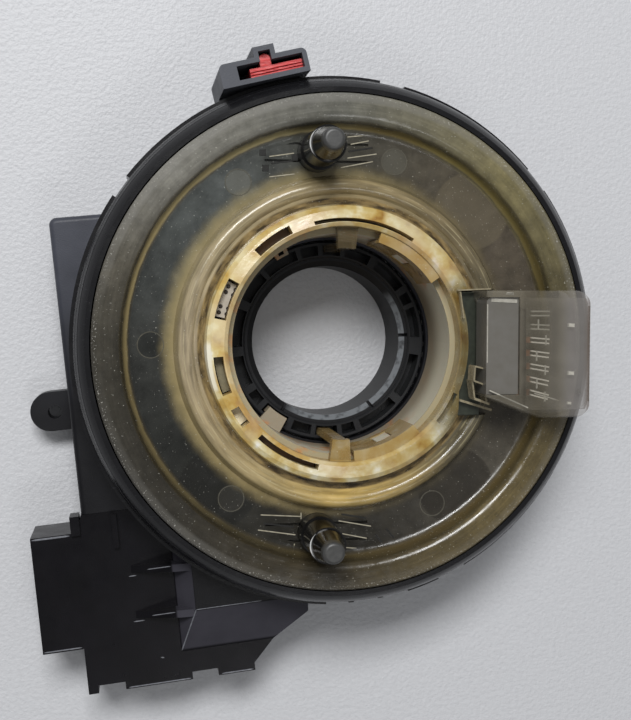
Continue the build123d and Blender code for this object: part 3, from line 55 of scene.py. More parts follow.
# --- sizes that the looks share with the solids, in millimetres ----------------------------
# Heights are the frame's Z. A name in _R is a radius, mostly a distance from the column axis.
ROTOR_TURN = -5.5      # the rotor's own X against the housing's X, in degrees
HUB_BORE_R = 24.5      # bore of the rotor's raised hub
BAND_LOW_R = 35.4      # the rotor's sunk band begins here
BAND_HIGH_R = 44.65    # and ends here
BAND_MIDDLE_R = (BAND_LOW_R + BAND_HIGH_R) / 2
BAND_TOP = 32.3
PEG_X = -5.3           # both pegs stand here, on the rotor's own X
COLLAR = 46.0          # the peg's tip begins here
COLLAR_R = 3.56        # radius of the collar there
SHROUD_RIGHT = 49.9    # outer face of the connector's shroud, on the rotor's own X
SHROUD_Y = (-15.0, 11.2)       # its sides
PLATE_TOP = 35.2       # top of the inner terminal
BLOCK_TOP = 18.5       # top of the connector block
RAISED_DECK = 24.0     # top of its raised deck
RAISED_X = -40.1       # the raised deck lies to the right of this


def tint(red, green, blue):
    """Linear colour of a shade that is written as 8-bit sRGB."""
    return tuple(((part / 255 + 0.055) / 1.055) ** 2.4 for part in (red, green, blue))


def polar(radius, angle):
    """A flat point by its distance from the axis and its angle in degrees."""
    return (radius * cos(radians(angle)), radius * sin(radians(angle)))


# --- material graphs -----------------------------------------------------------------------
class Paint:
    """A node material, built call by call. Positions and lengths in it are millimetres."""

    def __init__(self, name, roughness=0.5, ior=1.45, specular=0.5, turned=False):
        self.material = bpy.data.materials.new(name)
        self.material.use_nodes = True
        self.tree = self.material.node_tree
        self.shader = self.tree.nodes["Principled BSDF"]
        self.shader.inputs["Roughness"].default_value = roughness
        self.shader.inputs["IOR"].default_value = ior
        self.shader.inputs["Specular IOR Level"].default_value = specular
        coords = self.node("ShaderNodeTexCoord")
        self.place = self.vector("MULTIPLY", coords.outputs["Object"], (1 / MM, 1 / MM, 1 / MM))
        if turned:
            spin = self.node("ShaderNodeVectorRotate", rotation_type="Z_AXIS")
            self.feed(spin.inputs["Vector"], self.place)
            spin.inputs["Angle"].default_value = radians(-ROTOR_TURN)
            self.place = spin.outputs[0]
        self.height = None

    def node(self, kind, **settings):
        made = self.tree.nodes.new(kind)
        for key, value in settings.items():
            setattr(made, key, value)
        return made

    def feed(self, socket, value):
        """Puts a number, a colour or another node's output into a socket."""
        if isinstance(value, bpy.types.NodeSocket):
            self.tree.links.new(value, socket)
        elif socket.type == "RGBA":
            colour = value if isinstance(value, (tuple, list)) else (value,) * 3
            socket.default_value = (*colour, 1.0)
        else:
            socket.default_value = value

    def math(self, operation, first, second=0.0, third=0.0):
        made = self.node("ShaderNodeMath", operation=operation)
        for socket, value in zip(made.inputs, (first, second, third)):
            self.feed(socket, value)
        return made.outputs[0]

    def vector(self, operation, first, second=(0, 0, 0)):
        made = self.node("ShaderNodeVectorMath", operation=operation)
        self.feed(made.inputs[0], first)
        self.feed(made.inputs[1], second)
        return made.outputs["Value"] if operation == "LENGTH" else made.outputs["Vector"]

    def radius(self):
        """Distance from the column axis."""
        return self.vector("LENGTH", self.vector("MULTIPLY", self.place, (1, 1, 0)))

    def axis(self, letter):
        split = self.node("ShaderNodeSeparateXYZ")
        self.feed(split.inputs[0], self.place)
        return split.outputs[letter]

    def angle(self):
        """Angle about the column axis, in degrees from -180 to 180."""
        turn = self.math("ARCTAN2", self.axis("Y"), self.axis("X"))
        return self.math("MULTIPLY", turn, 180 / pi)

    def texture(self, spot, detail, rough):
        made = self.node("ShaderNodeTexNoise")
        self.feed(made.inputs["Vector"], spot)
        made.inputs["Scale"].default_value = 1.0
        made.inputs["Detail"].default_value = detail
        made.inputs["Roughness"].default_value = rough
        return made.outputs["Fac"]

    def noise(self, size, detail=3.0, rough=0.55, stretch=(1, 1, 1), shift=0.0):
        """Noise from 0 to 1 with blotches of about this size."""
        spot = self.vector("MULTIPLY", self.place, tuple(part / size for part in stretch))
        return self.texture(self.vector("ADD", spot, (shift, shift, shift)), detail, rough)

    def streaks(self, across, along, detail=3.0, rough=0.55, shift=0.0):
        """Noise in streaks round the axis: across is in mm, along in degrees."""
        flat = self.vector("MULTIPLY", self.place, (1, 1, 0))
        way = self.vector("NORMALIZE", flat)
        spot = self.vector("MULTIPLY", way, (180 / pi / along, 180 / pi / along, 0))
        lift = self.node("ShaderNodeCombineXYZ")
        self.feed(lift.inputs[2], self.math("MULTIPLY_ADD", self.radius(), 1 / across, shift))
        return self.texture(self.vector("ADD", spot, lift.outputs[0]), detail, rough)

    def ramp(self, value, stops, low=0.0, high=1.0):
        """Grey or colour by value. Stops are (value, grey or colour) pairs between low and high."""
        made = self.node("ShaderNodeValToRGB")
        spread = made.color_ramp.elements
        for number, (spot, colour) in enumerate(stops):
            spot = (spot - low) / (high - low)
            if number < 2:
                element = spread[number]
                element.position = spot
            else:
                element = spread.new(spot)
            full = colour if isinstance(colour, (tuple, list)) else (colour,) * 3
            element.color = (*full, 1.0)
        if (low, high) != (0.0, 1.0):
            value = self.math("DIVIDE", self.math("SUBTRACT", value, low), high - low)
        self.feed(made.inputs[0], value)
        return made.outputs["Color"]

    def by_angle(self, *stops):
        """Colour or grey by the angle about the axis. Stops are (degrees, value), from -180 up.

        A value below 0 would be cut to 0.
        """
        closed = [*stops, (180.0, stops[0][1])]
        return self.ramp(self.angle(), closed, low=-180.0, high=180.0)

    def mix(self, first, second, share, blend="MIX"):
        made = self.node("ShaderNodeMix", data_type="RGBA", blend_type=blend)
        self.feed(made.inputs["Factor"], share)
        self.feed(made.inputs["A"], first)
        self.feed(made.inputs["B"], second)
        return made.outputs["Result"]

    def past(self, value, spot, soft):
        """0 below a value and 1 above it, with a soft edge."""
        rise = self.node("ShaderNodeMapRange", interpolation_type="SMOOTHSTEP")
        self.feed(rise.inputs["Value"], value)
        rise.inputs["From Min"].default_value = spot - soft
        rise.inputs["From Max"].default_value = spot + soft
        return rise.outputs[0]

    def band(self, value, start, end, soft):
        """1 between start and end, 0 outside, with soft edges."""
        fall = self.math("SUBTRACT", 1.0, self.past(value, end, soft))
        return self.math("MULTIPLY", self.past(value, start, soft), fall)

    def disc(self, spot, radius, soft):
        """1 inside a circle seen from above, 0 outside."""
        flat = self.vector("MULTIPLY", self.place, (1, 1, 0))
        away = self.vector("LENGTH", self.vector("SUBTRACT", flat, (*spot, 0)))
        return self.math("SUBTRACT", 1.0, self.past(away, radius, soft))

    def product(self, *values):
        total = values[0]
        for value in values[1:]:
            total = self.math("MULTIPLY", total, value)
        return total

    def set(self, name, value):
        self.feed(self.shader.inputs[name], value)

    def bump(self, height, depth):
        """Adds relief: depth is in millimetres for a height of 1."""
        made = self.node("ShaderNodeBump")
        made.inputs["Distance"].default_value = depth * MM
        self.feed(made.inputs["Height"], height)
        if self.height is not None:
            self.feed(made.inputs["Normal"], self.height)
        self.height = made.outputs["Normal"]
        self.feed(self.shader.inputs["Normal"], self.height)

    def dress(self, *names):
        for name in names:
            NODES[name].data.materials.clear()
            NODES[name].data.materials.append(self.material)


# --- finishes ------------------------------------------------------------------------------
def grained_black(name, roughness, grain, specular=0.25):
    """Black moulded plastic that still needs its colour: fine grain and an uneven gloss."""
    paint = Paint(name, roughness, specular=specular)
    gloss = paint.noise(4.0, detail=4.0, shift=11.0)
    paint.set("Roughness", paint.math("MULTIPLY_ADD", gloss, 0.24, roughness - 0.12))
    paint.bump(paint.noise(0.28, detail=2.0), grain)
    return paint


def moulded_black(name, colour, roughness, grain, specular=0.25, dust=0.0):
    """Black moulded plastic with faint blotches, dust and handling marks."""
    paint = grained_black(name, roughness, grain, specular)
    shade = paint.mix(tuple(0.8 * part for part in colour), tuple(1.25 * part for part in colour),
                      paint.noise(9.0, detail=4.0))
    specks = paint.ramp(paint.noise(0.45, detail=2.0, shift=3.0), [(0.72, 0.0), (0.78, 1.0)])
    scuffs = paint.ramp(paint.noise(2.5, detail=5.0, stretch=(1, 6, 1), shift=7.0),
                        [(0.64, 0.0), (0.74, 1.0)])
    shade = paint.mix(shade, tint(120, 120, 122), paint.math("MULTIPLY", specks, 0.18 + dust))
    shade = paint.mix(shade, tint(80, 82, 86), paint.math("MULTIPLY", scuffs, 0.25 + dust))
    paint.set("Base Color", shade)
    return paint


PAINTED_SHEEN_Y = (8.0, 20.0)       # painted sheen: the housing is painted lighter about this Y, over this half width


def paint_housing():
    paint = grained_black("black_housing", 0.42, 0.03)
    # painted sheen: the black is painted lighter towards +Y
    shade = paint.mix(tint(20, 20, 23), tint(64, 66, 74), paint.past(paint.axis("Y"), *PAINTED_SHEEN_Y))
    blotch = paint.ramp(paint.noise(9.0, detail=4.0, shift=31.0), [(0.3, 0.8), (0.7, 1.2)])
    paint.set("Base Color", paint.mix(shade, blotch, 1.0, "MULTIPLY"))
    paint.dress("housing", "back_cover")


RIDGES = ((54.75, 54.95), (55.3, 55.5))        # fine ridges round the cover ring: from, to


def paint_cover_ring():
    paint = moulded_black("black_ring", tint(20, 20, 22), 0.26, 0.015, specular=0.3)
    radius = paint.radius()
    ridges = paint.math("ADD", *[paint.band(radius, *ridge, 0.06) for ridge in RIDGES])
    shown = paint.by_angle((-180, 1.0), (-120, 0.0), (60, 0.0), (100, 1.0))
    paint.bump(paint.product(ridges, shown), 0.12)
    paint.dress("cover_ring")


def paint_block():
    """Connector block: near black, with a painted sheen that makes the sides of the raised deck
    greyer than its top.
    """
    paint = grained_black("black_block", 0.32, 0.02, specular=0.2)
    raised = paint.product(paint.past(paint.axis("Z"), BLOCK_TOP + 0.3, 0.2),
                           paint.past(paint.axis("X"), RAISED_X, 0.3))
    deck = paint.past(paint.axis("Z"), RAISED_DECK - 0.15, 0.1)
    low = paint.ramp(paint.noise(8.0, detail=4.0, shift=5.0),
                     [(0.3, tint(9, 8, 11)), (0.7, tint(15, 14, 18))])
    # painted sheen: the raised deck's sides and ribs are painted grey, its top near black
    high = paint.mix(tint(50, 49, 55), tint(64, 63, 70), paint.noise(5.0, detail=4.0))
    high = paint.mix(high, tint(20, 20, 22), deck)
    paint.set("Base Color", paint.mix(low, high, raised))
    paint.dress("connector_block")


def paint_socket():
    paint = moulded_black("black_socket", tint(76, 78, 84), 0.5, 0.04, dust=0.3)
    paint.dress("lock_socket")


def paint_red():
    paint = Paint("red_plastic", 0.4)
    streak = paint.noise(1.2, detail=4.0, stretch=(0.3, 3, 1))
    paint.set("Base Color", paint.ramp(streak, [(0.3, tint(150, 30, 32)), (0.55, tint(205, 62, 62)),
                                                (0.75, tint(215, 120, 118))]))
    paint.bump(streak, 0.15)
    paint.dress("red_insert")


# Where the disc's look changes, by the distance from the axis.
BURNT_R = 26.1         # the burnt edge of the bore fades out here
PALE_EDGE = (28.0, 29.1)       # pale strip along the outer edge of the hub's top
SEAM_R = 29.2          # the brown seam about the hub begins here
BEAD_R = 30.6          # the round bead begins here
BEAD_HIGHLIGHTS = ((31.4, 0.10), (32.5, 0.07), (33.4, 0.09), (34.3, 0.06))  # painted highlights along the bead: middle, half width
MUSTARD_R = 34.8       # the bead turns to mustard here
SMOKE_R = 35.6         # the smoky colour of the band begins here
CLEAR_BAND_R = 36.0    # and the band grows clearer here
RIM_R = 44.5           # the brushed rim begins here
CLOUDED_RIM_R = 44.4   # and its cloudiness here
FOOT_SHADE = (44.5, 46.4)      # dark foot of the rim
FOOT_LINE = (44.9, 45.8)       # bright line along that foot
GRIME = (50.9, 51.7)   # pale crumbs at the edge
CHALK = (50.2, 51.9)   # chalky edge
CLEAR_HUB = (-38.0, 26.0)      # where the hub shows the reel, in the rotor's degrees
PAD_R = 8.3            # round pads of the housing, seen through the band
MARK_R = 2.7           # round marks of the band


def disc_hub(paint):
    """Colour of the raised hub: blotches of amber, cream and white, with painted shade that darkens
    it towards the right.
    """
    grain = paint.noise(4.6, detail=3.5, shift=4.0)
    shade = paint.ramp(grain, [(0.30, tint(158, 116, 52)), (0.40, tint(190, 156, 82)),
                               (0.52, tint(208, 184, 118)), (0.62, tint(228, 216, 172)),
                               (0.70, tint(246, 243, 230))])
    cream = paint.ramp(paint.noise(9.0, detail=2.0, shift=33.0), [(0.46, 0.0), (0.62, 1.0)])
    shade = paint.mix(shade, tint(236, 228, 196), paint.product(cream, 0.45))
    burnt = paint.by_angle((-180, 0.2), (-140, 0.75), (-100, 0.35), (-60, 0.25), (20, 0.2),
                           (34, 0.7), (62, 0.7), (74, 0.2), (100, 0.3), (108, 0.9), (122, 0.8),
                           (130, 0.2))
    inner = paint.math("SUBTRACT", 1.0, paint.past(paint.radius(), BURNT_R, 1.2))
    patchy = paint.ramp(paint.noise(3.0, detail=4.0, shift=51.0), [(0.35, 0.4), (0.6, 1.0)])
    shade = paint.mix(shade, tint(186, 134, 62), paint.product(burnt, inner, patchy, 0.8))
    pale = paint.by_angle((-180, 1.0), (-162, 1.0), (-160, 0.0), (178, 0.0), (180, 1.0))
    edge = paint.band(paint.radius(), *PALE_EDGE, 0.2)
    shade = paint.mix(shade, tint(246, 240, 218), paint.product(edge, pale, 0.9))
    # painted shade: the hub is darkened towards the right, most at 0 degrees
    light = paint.by_angle((-180, 1.0), (-90, 0.86), (-45, 0.76), (0, 0.6), (40, 0.84), (80, 0.86),
                           (110, 0.88), (150, 1.0))
    return paint.mix(shade, light, 1.0, "MULTIPLY")


def disc_bead(paint, radius):
    """Colour of the round bead about the hub, with painted highlights: thin bright lines along it.
    """
    shade = paint.by_angle((-180, tint(162, 148, 122)), (-120, tint(168, 150, 108)),
                           (-90, tint(192, 164, 98)), (-45, tint(100, 92, 72)),
                           (0, tint(92, 88, 74)), (45, tint(118, 106, 80)),
                           (90, tint(152, 136, 100)), (135, tint(164, 150, 118)))
    smear = paint.streaks(0.8, 14.0, detail=4.0, shift=2.0)
    shade = paint.mix(shade, paint.ramp(smear, [(0.3, 0.62), (0.7, 1.35)]), 1.0, "MULTIPLY")
    broken = paint.ramp(paint.streaks(2.0, 9.0, shift=6.0), [(0.42, 0.0), (0.56, 1.0)])
    # painted highlights: thin bright lines along the bead, broken in places
    lines = 0.0
    for spot, half in BEAD_HIGHLIGHTS:
        lines = paint.math("ADD", lines, paint.band(radius, spot - half, spot + half, 0.08))
    return paint.mix(shade, tint(214, 202, 160), paint.product(lines, broken, 0.4))


def disc_band(paint):
    """Colour of the sunk band: smoky, with what lies under it showing faintly."""
    shade = paint.by_angle((-180, tint(56, 57, 54)), (-150, tint(40, 41, 38)),
                           (-110, tint(42, 40, 34)), (-80, tint(48, 45, 38)),
                           (-45, tint(80, 76, 68)), (-10, tint(76, 70, 58)),
                           (30, tint(86, 78, 66)), (60, tint(82, 76, 64)), (95, tint(66, 65, 58)),
                           (125, tint(84, 88, 86)), (155, tint(66, 69, 67)))
    smoke = paint.noise(6.0, detail=6.0, rough=0.7, shift=8.0)
    shade = paint.mix(shade, paint.ramp(smoke, [(0.3, 0.55), (0.7, 1.5)]), 1.0, "MULTIPLY")
    # Pads under the band, then its own marks: angle, radius, soft edge, colour, share.
    rounds = ((45.0, PAD_R, 0.25, tint(112, 103, 84), 0.5),
              (-51.0, PAD_R, 0.25, tint(38, 34, 28), 0.6),
              (-131.0, PAD_R, 0.25, tint(34, 34, 31), 0.7),
              (73.6, MARK_R, 0.4, tint(96, 94, 84), 0.6),
              (123.0, MARK_R, 0.4, tint(112, 112, 104), 0.6),
              (180.0, MARK_R, 0.4, tint(30, 32, 30), 0.6),
              (234.0, MARK_R, 0.4, tint(64, 62, 56), 0.5))
    for angle, radius, soft, colour, share in rounds:
        inside = paint.disc(polar(BAND_MIDDLE_R, angle), radius, soft)
        shade = paint.mix(shade, colour, paint.product(inside, share))
    return shade


def disc_rim(paint):
    """Colour of the flat rim: brushed, olive on the right, grey at the upper left."""
    shade = paint.by_angle((-180, tint(58, 55, 47)), (-135, tint(48, 45, 38)),
                           (-90, tint(62, 55, 40)), (-45, tint(100, 88, 58)),
                           (0, tint(66, 60, 44)), (45, tint(116, 108, 76)),
                           (90, tint(102, 101, 93)), (135, tint(120, 118, 110)),
                           (160, tint(84, 80, 70)))
    brush = paint.streaks(0.5, 12.0, detail=5.0, rough=0.6)
    shade = paint.mix(shade, paint.ramp(brush, [(0.3, 0.84), (0.72, 1.18)]), 1.0, "MULTIPLY")
    cloud = paint.noise(4.0, detail=8.0, rough=0.75, shift=15.0)
    return paint.mix(shade, paint.ramp(cloud, [(0.3, 0.66), (0.7, 1.34)]), 1.0, "MULTIPLY")


def disc_colour(paint, radius, fuzzy, reach):
    """Colour of the whole disc, from the hub out. Fuzzy and reach are wandering radii."""
    colour = disc_hub(paint)
    finger = paint.math("SUBTRACT", 1.0, paint.past(radius, HUB_BORE_R, 0.3))
    colour = paint.mix(colour, tint(150, 124, 74), paint.product(finger, 0.6))
    upper = paint.by_angle((-180, 0.0), (81, 0.0), (83, 1.0), (97, 1.0), (99, 0.0))
    colour = paint.mix(colour, tint(84, 74, 54), paint.product(finger, upper, 0.85))
    seam = paint.ramp(paint.streaks(1.0, 8.0, shift=12.0),
                      [(0.35, tint(62, 50, 30)), (0.65, tint(150, 128, 84))])
    colour = paint.mix(colour, seam, paint.past(radius, SEAM_R, 0.15))
    colour = paint.mix(colour, disc_bead(paint, radius), paint.past(radius, BEAD_R, 0.25))
    mustard = paint.by_angle((-180, tint(150, 136, 96)), (-120, tint(148, 132, 90)),
                             (-60, tint(92, 84, 64)), (0, tint(84, 76, 56)),
                             (60, tint(112, 100, 68)), (100, tint(138, 126, 90)),
                             (150, tint(146, 134, 98)))
    colour = paint.mix(colour, mustard, paint.past(fuzzy, MUSTARD_R, 1.2))
    colour = paint.mix(colour, disc_band(paint), paint.past(reach, SMOKE_R, 2.0))
    colour = paint.mix(colour, disc_rim(paint), paint.past(radius, RIM_R, 0.3))
    foot = paint.by_angle((-180, tint(134, 120, 84)), (-120, tint(66, 60, 44)),
                          (-60, tint(84, 72, 46)), (0, tint(92, 80, 50)), (60, tint(124, 112, 66)),
                          (80, tint(116, 102, 64)), (110, tint(176, 164, 122)),
                          (150, tint(174, 158, 114)))
    wavy = paint.math("MULTIPLY_ADD", paint.streaks(1.5, 6.0, shift=40.0), 0.8, -0.4)
    ragged = paint.math("ADD", radius, wavy)
    shaded = paint.product(paint.band(ragged, *FOOT_SHADE, 0.25), 0.6)
    colour = paint.mix(colour, tint(52, 46, 32), shaded)
    colour = paint.mix(colour, foot, paint.band(ragged, *FOOT_LINE, 0.25))
    grime = paint.ramp(paint.noise(0.36, detail=2.0, shift=19.0), [(0.60, 0.0), (0.70, 1.0)])
    grime = paint.product(grime, paint.band(radius, *GRIME, 0.2), 0.7)
    colour = paint.mix(colour, tint(206, 204, 196), grime)
    chalk = paint.by_angle((-180, 0.0), (-130, 0.4), (-90, 0.1), (60, 0.5), (100, 0.8), (150, 0.6),
                           (170, 0.1))
    chalk = paint.product(chalk, paint.band(radius, *CHALK, 0.5), 0.5)
    return paint.mix(colour, tint(150, 148, 142), chalk)


def disc_cover(paint, radius, reach):
    """How much the disc hides what lies under it."""
    window = paint.by_angle((-180, 0.0), (CLEAR_HUB[0] - 8, 0.0), (CLEAR_HUB[0], 1.0),
                            (CLEAR_HUB[1], 1.0), (CLEAR_HUB[1] + 8, 0.0))
    fingers = paint.by_angle((-180, 0.0), (-100, 0.0), (-99, 1.0), (-87, 1.0), (-86, 0.0),
                             (82, 0.0), (83, 1.0), (97, 1.0), (99, 0.0))
    inner = paint.math("SUBTRACT", 1.0, paint.past(radius, HUB_BORE_R, 0.3))
    finger = paint.product(fingers, inner)
    share = paint.by_angle((-180, 0.28), (0, 0.28), (10, 0.66))
    cover = paint.math("MULTIPLY_ADD", window, -0.55, 0.88)
    cover = paint.math("SUBTRACT", cover, paint.product(finger, share))
    cover = paint.mix(cover, 0.8, paint.past(radius, SEAM_R, 0.3))
    cover = paint.mix(cover, 0.66, paint.past(reach, CLEAR_BAND_R, 0.5))
    return paint.mix(cover, 0.85, paint.past(radius, CLOUDED_RIM_R, 0.3))


def paint_disc():
    """The clear, aged rotor: what tints it follows its radius and its angle."""
    paint = Paint("clear_plastic", 0.2, ior=1.5, turned=True)
    radius = paint.radius()
    wander = paint.math("MULTIPLY_ADD", paint.noise(4.0, detail=5.0, rough=0.6), 2.4, -1.2)
    fuzzy = paint.math("ADD", radius, wander)
    spread = paint.by_angle((-180, 1.0), (-120, 0.7), (-80, 0.2), (0, 0.0), (60, 0.2), (100, 0.7),
                            (150, 1.0))
    reach = paint.math("MULTIPLY_ADD", spread, -1.6, fuzzy)
    specks = paint.ramp(paint.noise(0.42, detail=2.0, shift=9.0), [(0.69, 0.0), (0.74, 1.0)])
    colour = disc_colour(paint, radius, fuzzy, reach)
    colour = paint.mix(colour, tint(196, 194, 184), paint.math("MULTIPLY", specks, 0.45))
    paint.set("Base Color", colour)
    paint.set("Alpha", paint.mix(disc_cover(paint, radius, reach), 1.0, specks))
    gloss = paint.noise(3.0, detail=4.0, shift=21.0)
    paint.set("Roughness", paint.ramp(gloss, [(0.3, 0.12), (0.7, 0.3)]))
    paint.bump(paint.noise(2.4, detail=3.0, shift=2.0), 0.05)
    paint.bump(paint.streaks(0.3, 6.0, detail=4.0, shift=5.0), 0.012)
    paint.dress("rotor_disc")


PEG_FACE = 51.6        # the peg is greyer and rougher from here up


def paint_pegs():
    paint = Paint("dark_peg", 0.16, ior=1.55)
    top = paint.past(paint.axis("Z"), PEG_FACE, 0.6)
    second_tone = paint.mix(tint(28, 28, 28), tint(74, 74, 72), paint.noise(1.4, detail=4.0))
    paint.set("Base Color", paint.mix(tint(13, 12, 11), second_tone, top))
    paint.set("Roughness", paint.math("MULTIPLY_ADD", top, 0.3, 0.14))
    paint.bump(paint.noise(0.8), 0.03)
    paint.dress("drive_peg_upper", "drive_peg_lower")


# Where the connector's look changes, on the rotor's own X.
CONTACT_WINDOW = (35.4, 43.0)  # the shroud is clearest over the contacts
BLADE_X = 38.6         # the bright blades begin here, past their brown roots
GREY_X = 44.5          # the shroud turns grey here
END_WALL_X = 49.1      # its end wall begins here
DULL_Y = 2.4           # the contacts are duller above this, on the rotor's own Y


def paint_connector():
    shroud = Paint("frosted_clear", 0.2, ior=1.5, turned=True)
    haze = shroud.noise(4.0, detail=3.0)
    right = shroud.past(shroud.axis("X"), GREY_X, 2.0)
    shade = shroud.mix(tint(106, 100, 86), tint(136, 130, 116), haze)
    shade = shroud.mix(shade, tint(136, 132, 128), right)
    edge = shroud.past(shroud.axis("X"), END_WALL_X, 0.4)
    shade = shroud.mix(shade, tint(98, 86, 76), edge)
    shroud.set("Base Color", shade)
    seen = shroud.band(shroud.axis("X"), *CONTACT_WINDOW, 0.8)
    cover = shroud.math("MULTIPLY_ADD", haze, 0.22, 0.34)
    cover = shroud.math("MULTIPLY_ADD", seen, -0.24, cover)
    shroud.set("Alpha", shroud.math("MULTIPLY_ADD", edge, 0.3, cover))
    shroud.bump(shroud.noise(1.4), 0.04)
    shroud.dress("connector_shroud")
    carrier = Paint("frosted_carrier", 0.3, turned=True)
    haze = carrier.noise(3.0)
    carrier.set("Base Color", carrier.mix(tint(96, 92, 84), tint(112, 110, 106), haze))
    carrier.set("Alpha", 0.9)
    carrier.bump(carrier.noise(0.9), 0.03)
    carrier.dress("contact_carrier")
    contact = Paint("copper_contact", 0.3, turned=True)
    blade_share = contact.past(contact.axis("X"), BLADE_X, 0.4)
    brown = contact.ramp(contact.noise(3.0), [(0.35, tint(48, 26, 16)), (0.65, tint(122, 74, 42))])
    dull = contact.past(contact.axis("Y"), DULL_Y, 0.8)
    blade = contact.mix(tint(216, 210, 196), tint(158, 154, 142), dull)
    brown = contact.mix(brown, tint(70, 66, 58), dull)
    contact.set("Base Color", contact.mix(brown, blade, blade_share))
    contact.set("Metallic", 0.2)
    contact.dress("contact_pins")


REEL_SHADE_LINE = (24.0, 5.0)        # painted shade: the reel is darker and browner below this height, over this half width
REEL_END = 33.3        # its end face lies over this height


def paint_reel():
    """White sleeve: painted shade makes it browner deep down; stained where the hub is."""
    paint = Paint("white_plastic", 0.4, turned=True)
    # painted shade: the sleeve is darker and browner low down
    high = paint.past(paint.axis("Z"), *REEL_SHADE_LINE)
    shade = paint.mix(tint(150, 138, 118), tint(204, 196, 174), high)
    shade = paint.mix(shade, tint(160, 148, 118), paint.past(paint.axis("Z"), REEL_END, 0.15))
    stain = paint.ramp(paint.noise(5.0, detail=5.0, shift=3.0), [(0.52, 0.0), (0.68, 1.0)])
    stained = paint.by_angle((-180, 0.8), (-60, 0.9), (-40, 0.1), (20, 0.0), (35, 0.8), (120, 0.6))
    shade = paint.mix(shade, tint(190, 122, 52), paint.product(stain, stained))
    paint.set("Base Color", shade)
    paint.set("Subsurface Weight", 0.05)
    paint.bump(paint.noise(0.8), 0.03)
    paint.dress("reel")


INDEX_FACE = 14.2      # the index ring's top face lies over this height, its pockets under it
BORE_WALL_R = 17.1     # the encoder hub's bore wall lies inside this
CHAMFER_R = 18.1       # and its chamfer inside this,
CHAMFER_LOW = 13.3     # over this height


def paint_index_ring():
    ring = grained_black("black_ring_inner", 0.3, 0.02, specular=0.35)
    face = ring.past(ring.axis("Z"), INDEX_FACE, 0.3)
    # painted light: the pockets are a little lighter than the face, against the shade in them
    ring.set("Base Color", ring.mix(tint(42, 43, 44), tint(36, 37, 39), face))
    ring.dress("index_ring")


def paint_encoder_hub():
    """Dark geared hub: painted sheen greys its chamfer round half of the bore, the half that faces
    the light.
    """
    hub = Paint("dark_hub", 0.34, specular=0.3, turned=True)
    radius = hub.radius()
    sloped = hub.product(hub.past(hub.axis("Z"), CHAMFER_LOW, 0.1),
                         hub.math("SUBTRACT", 1.0, hub.past(radius, CHAMFER_R, 0.06)))
    # painted sheen: where the chamfer is painted grey, by the angle about the axis
    second_tone = hub.by_angle((-180, 0.0), (-125, 0.0), (-112, 1.0), (30, 1.0), (40, 0.0))
    sheen_patches = hub.ramp(hub.noise(1.6, detail=5.0), [(0.34, 0.35), (0.5, 1.0)])
    outside = hub.past(radius, BORE_WALL_R, 0.05)
    shade = hub.mix(tint(22, 22, 24), tint(36, 37, 39), hub.noise(2.0, detail=4.0))
    shade = hub.mix(tint(30, 31, 32), shade, outside)
    shade = hub.mix(shade, tint(118, 122, 126), hub.product(sloped, second_tone, sheen_patches, 0.9))
    hub.set("Base Color", shade)
    hub.set("Specular IOR Level", hub.math("MULTIPLY_ADD", outside, 0.24, 0.06))
    hub.bump(hub.noise(0.3), 0.01)
    hub.dress("encoder_hub")


def paint_gears():
    paint = Paint("gear_white", 0.5)
    paint.set("Base Color", paint.mix((0.50, 0.49, 0.45), (0.62, 0.61, 0.57), paint.noise(3.0)))
    paint.bump(paint.noise(0.4), 0.02)
    paint.dress("hub_gear", "measuring_gear_a", "measuring_gear_b")


def paint_metal(name, colour, roughness, *nodes):
    paint = Paint(name, roughness)
    paint.set("Metallic", 1.0)
    second_tone = tuple(0.8 * part for part in colour)
    paint.set("Base Color", paint.mix(second_tone, colour, paint.noise(0.8)))
    paint.bump(paint.noise(0.3, stretch=(1, 5, 1)), 0.02)
    paint.dress(*nodes)


def paint_terminals():
    paint = Paint("terminal_film", 0.4, turned=True)
    paint.set("Base Color", paint.mix(tint(150, 142, 130), tint(182, 176, 164), paint.noise(1.5)))
    paint.bump(paint.noise(0.5), 0.02)
    paint.dress("inner_terminal", "outer_terminal")


def paint_board():
    paint = Paint("board_green", 0.35)
    tracks = paint.node("ShaderNodeTexBrick")
    paint.feed(tracks.inputs["Vector"], paint.place)
    tracks.inputs["Scale"].default_value = 0.35
    tracks.inputs["Mortar Size"].default_value = 0.06
    paint.feed(tracks.inputs["Color1"], (0.012, 0.075, 0.03))
    paint.feed(tracks.inputs["Color2"], (0.014, 0.085, 0.034))
    paint.feed(tracks.inputs["Mortar"], (0.03, 0.14, 0.055))
    paint.set("Base Color", tracks.outputs["Color"])
    paint.dress("circuit_board")
    chip = Paint("chip_black", 0.5)
    chip.set("Base Color", chip.mix((0.012, 0.012, 0.012), (0.03, 0.03, 0.03), chip.noise(0.4)))
    chip.bump(chip.noise(0.2), 0.02)
    chip.dress("angle_sensors", "controller_chip")


def paint_ribbon():
    paint = Paint("ribbon_film", 0.3)
    lanes = paint.node("ShaderNodeTexWave", wave_type="BANDS", bands_direction="Z")
    paint.feed(lanes.inputs["Vector"], paint.place)
    lanes.inputs["Scale"].default_value = 0.32
    film, lane = (0.10, 0.075, 0.04), (0.05, 0.03, 0.015)
    paint.set("Base Color", paint.mix(film, lane, lanes.outputs["Fac"]))
    paint.dress("ribbon_cable")


# --- shapes of the small pieces ------------------------------------------------------------
def rotor_spot(x, y):
    """A point in the rotor's own axes, as the frame's."""
    turn = radians(ROTOR_TURN)
    return (x * cos(turn) - y * sin(turn), x * sin(turn) + y * cos(turn))


def rotor_vertex(shape, x, y, height):
    return shape.verts.new((*[part * MM for part in rotor_spot(x, y)], height * MM))


def rotor_section(shape, spot, turn, profile):
    """Vertices of a profile of (distance, height) pairs, turned about a point of the rotor."""
    return [rotor_vertex(shape, spot[0] + reach * cos(turn), spot[1] + reach * sin(turn), height)
            for reach, height in profile]


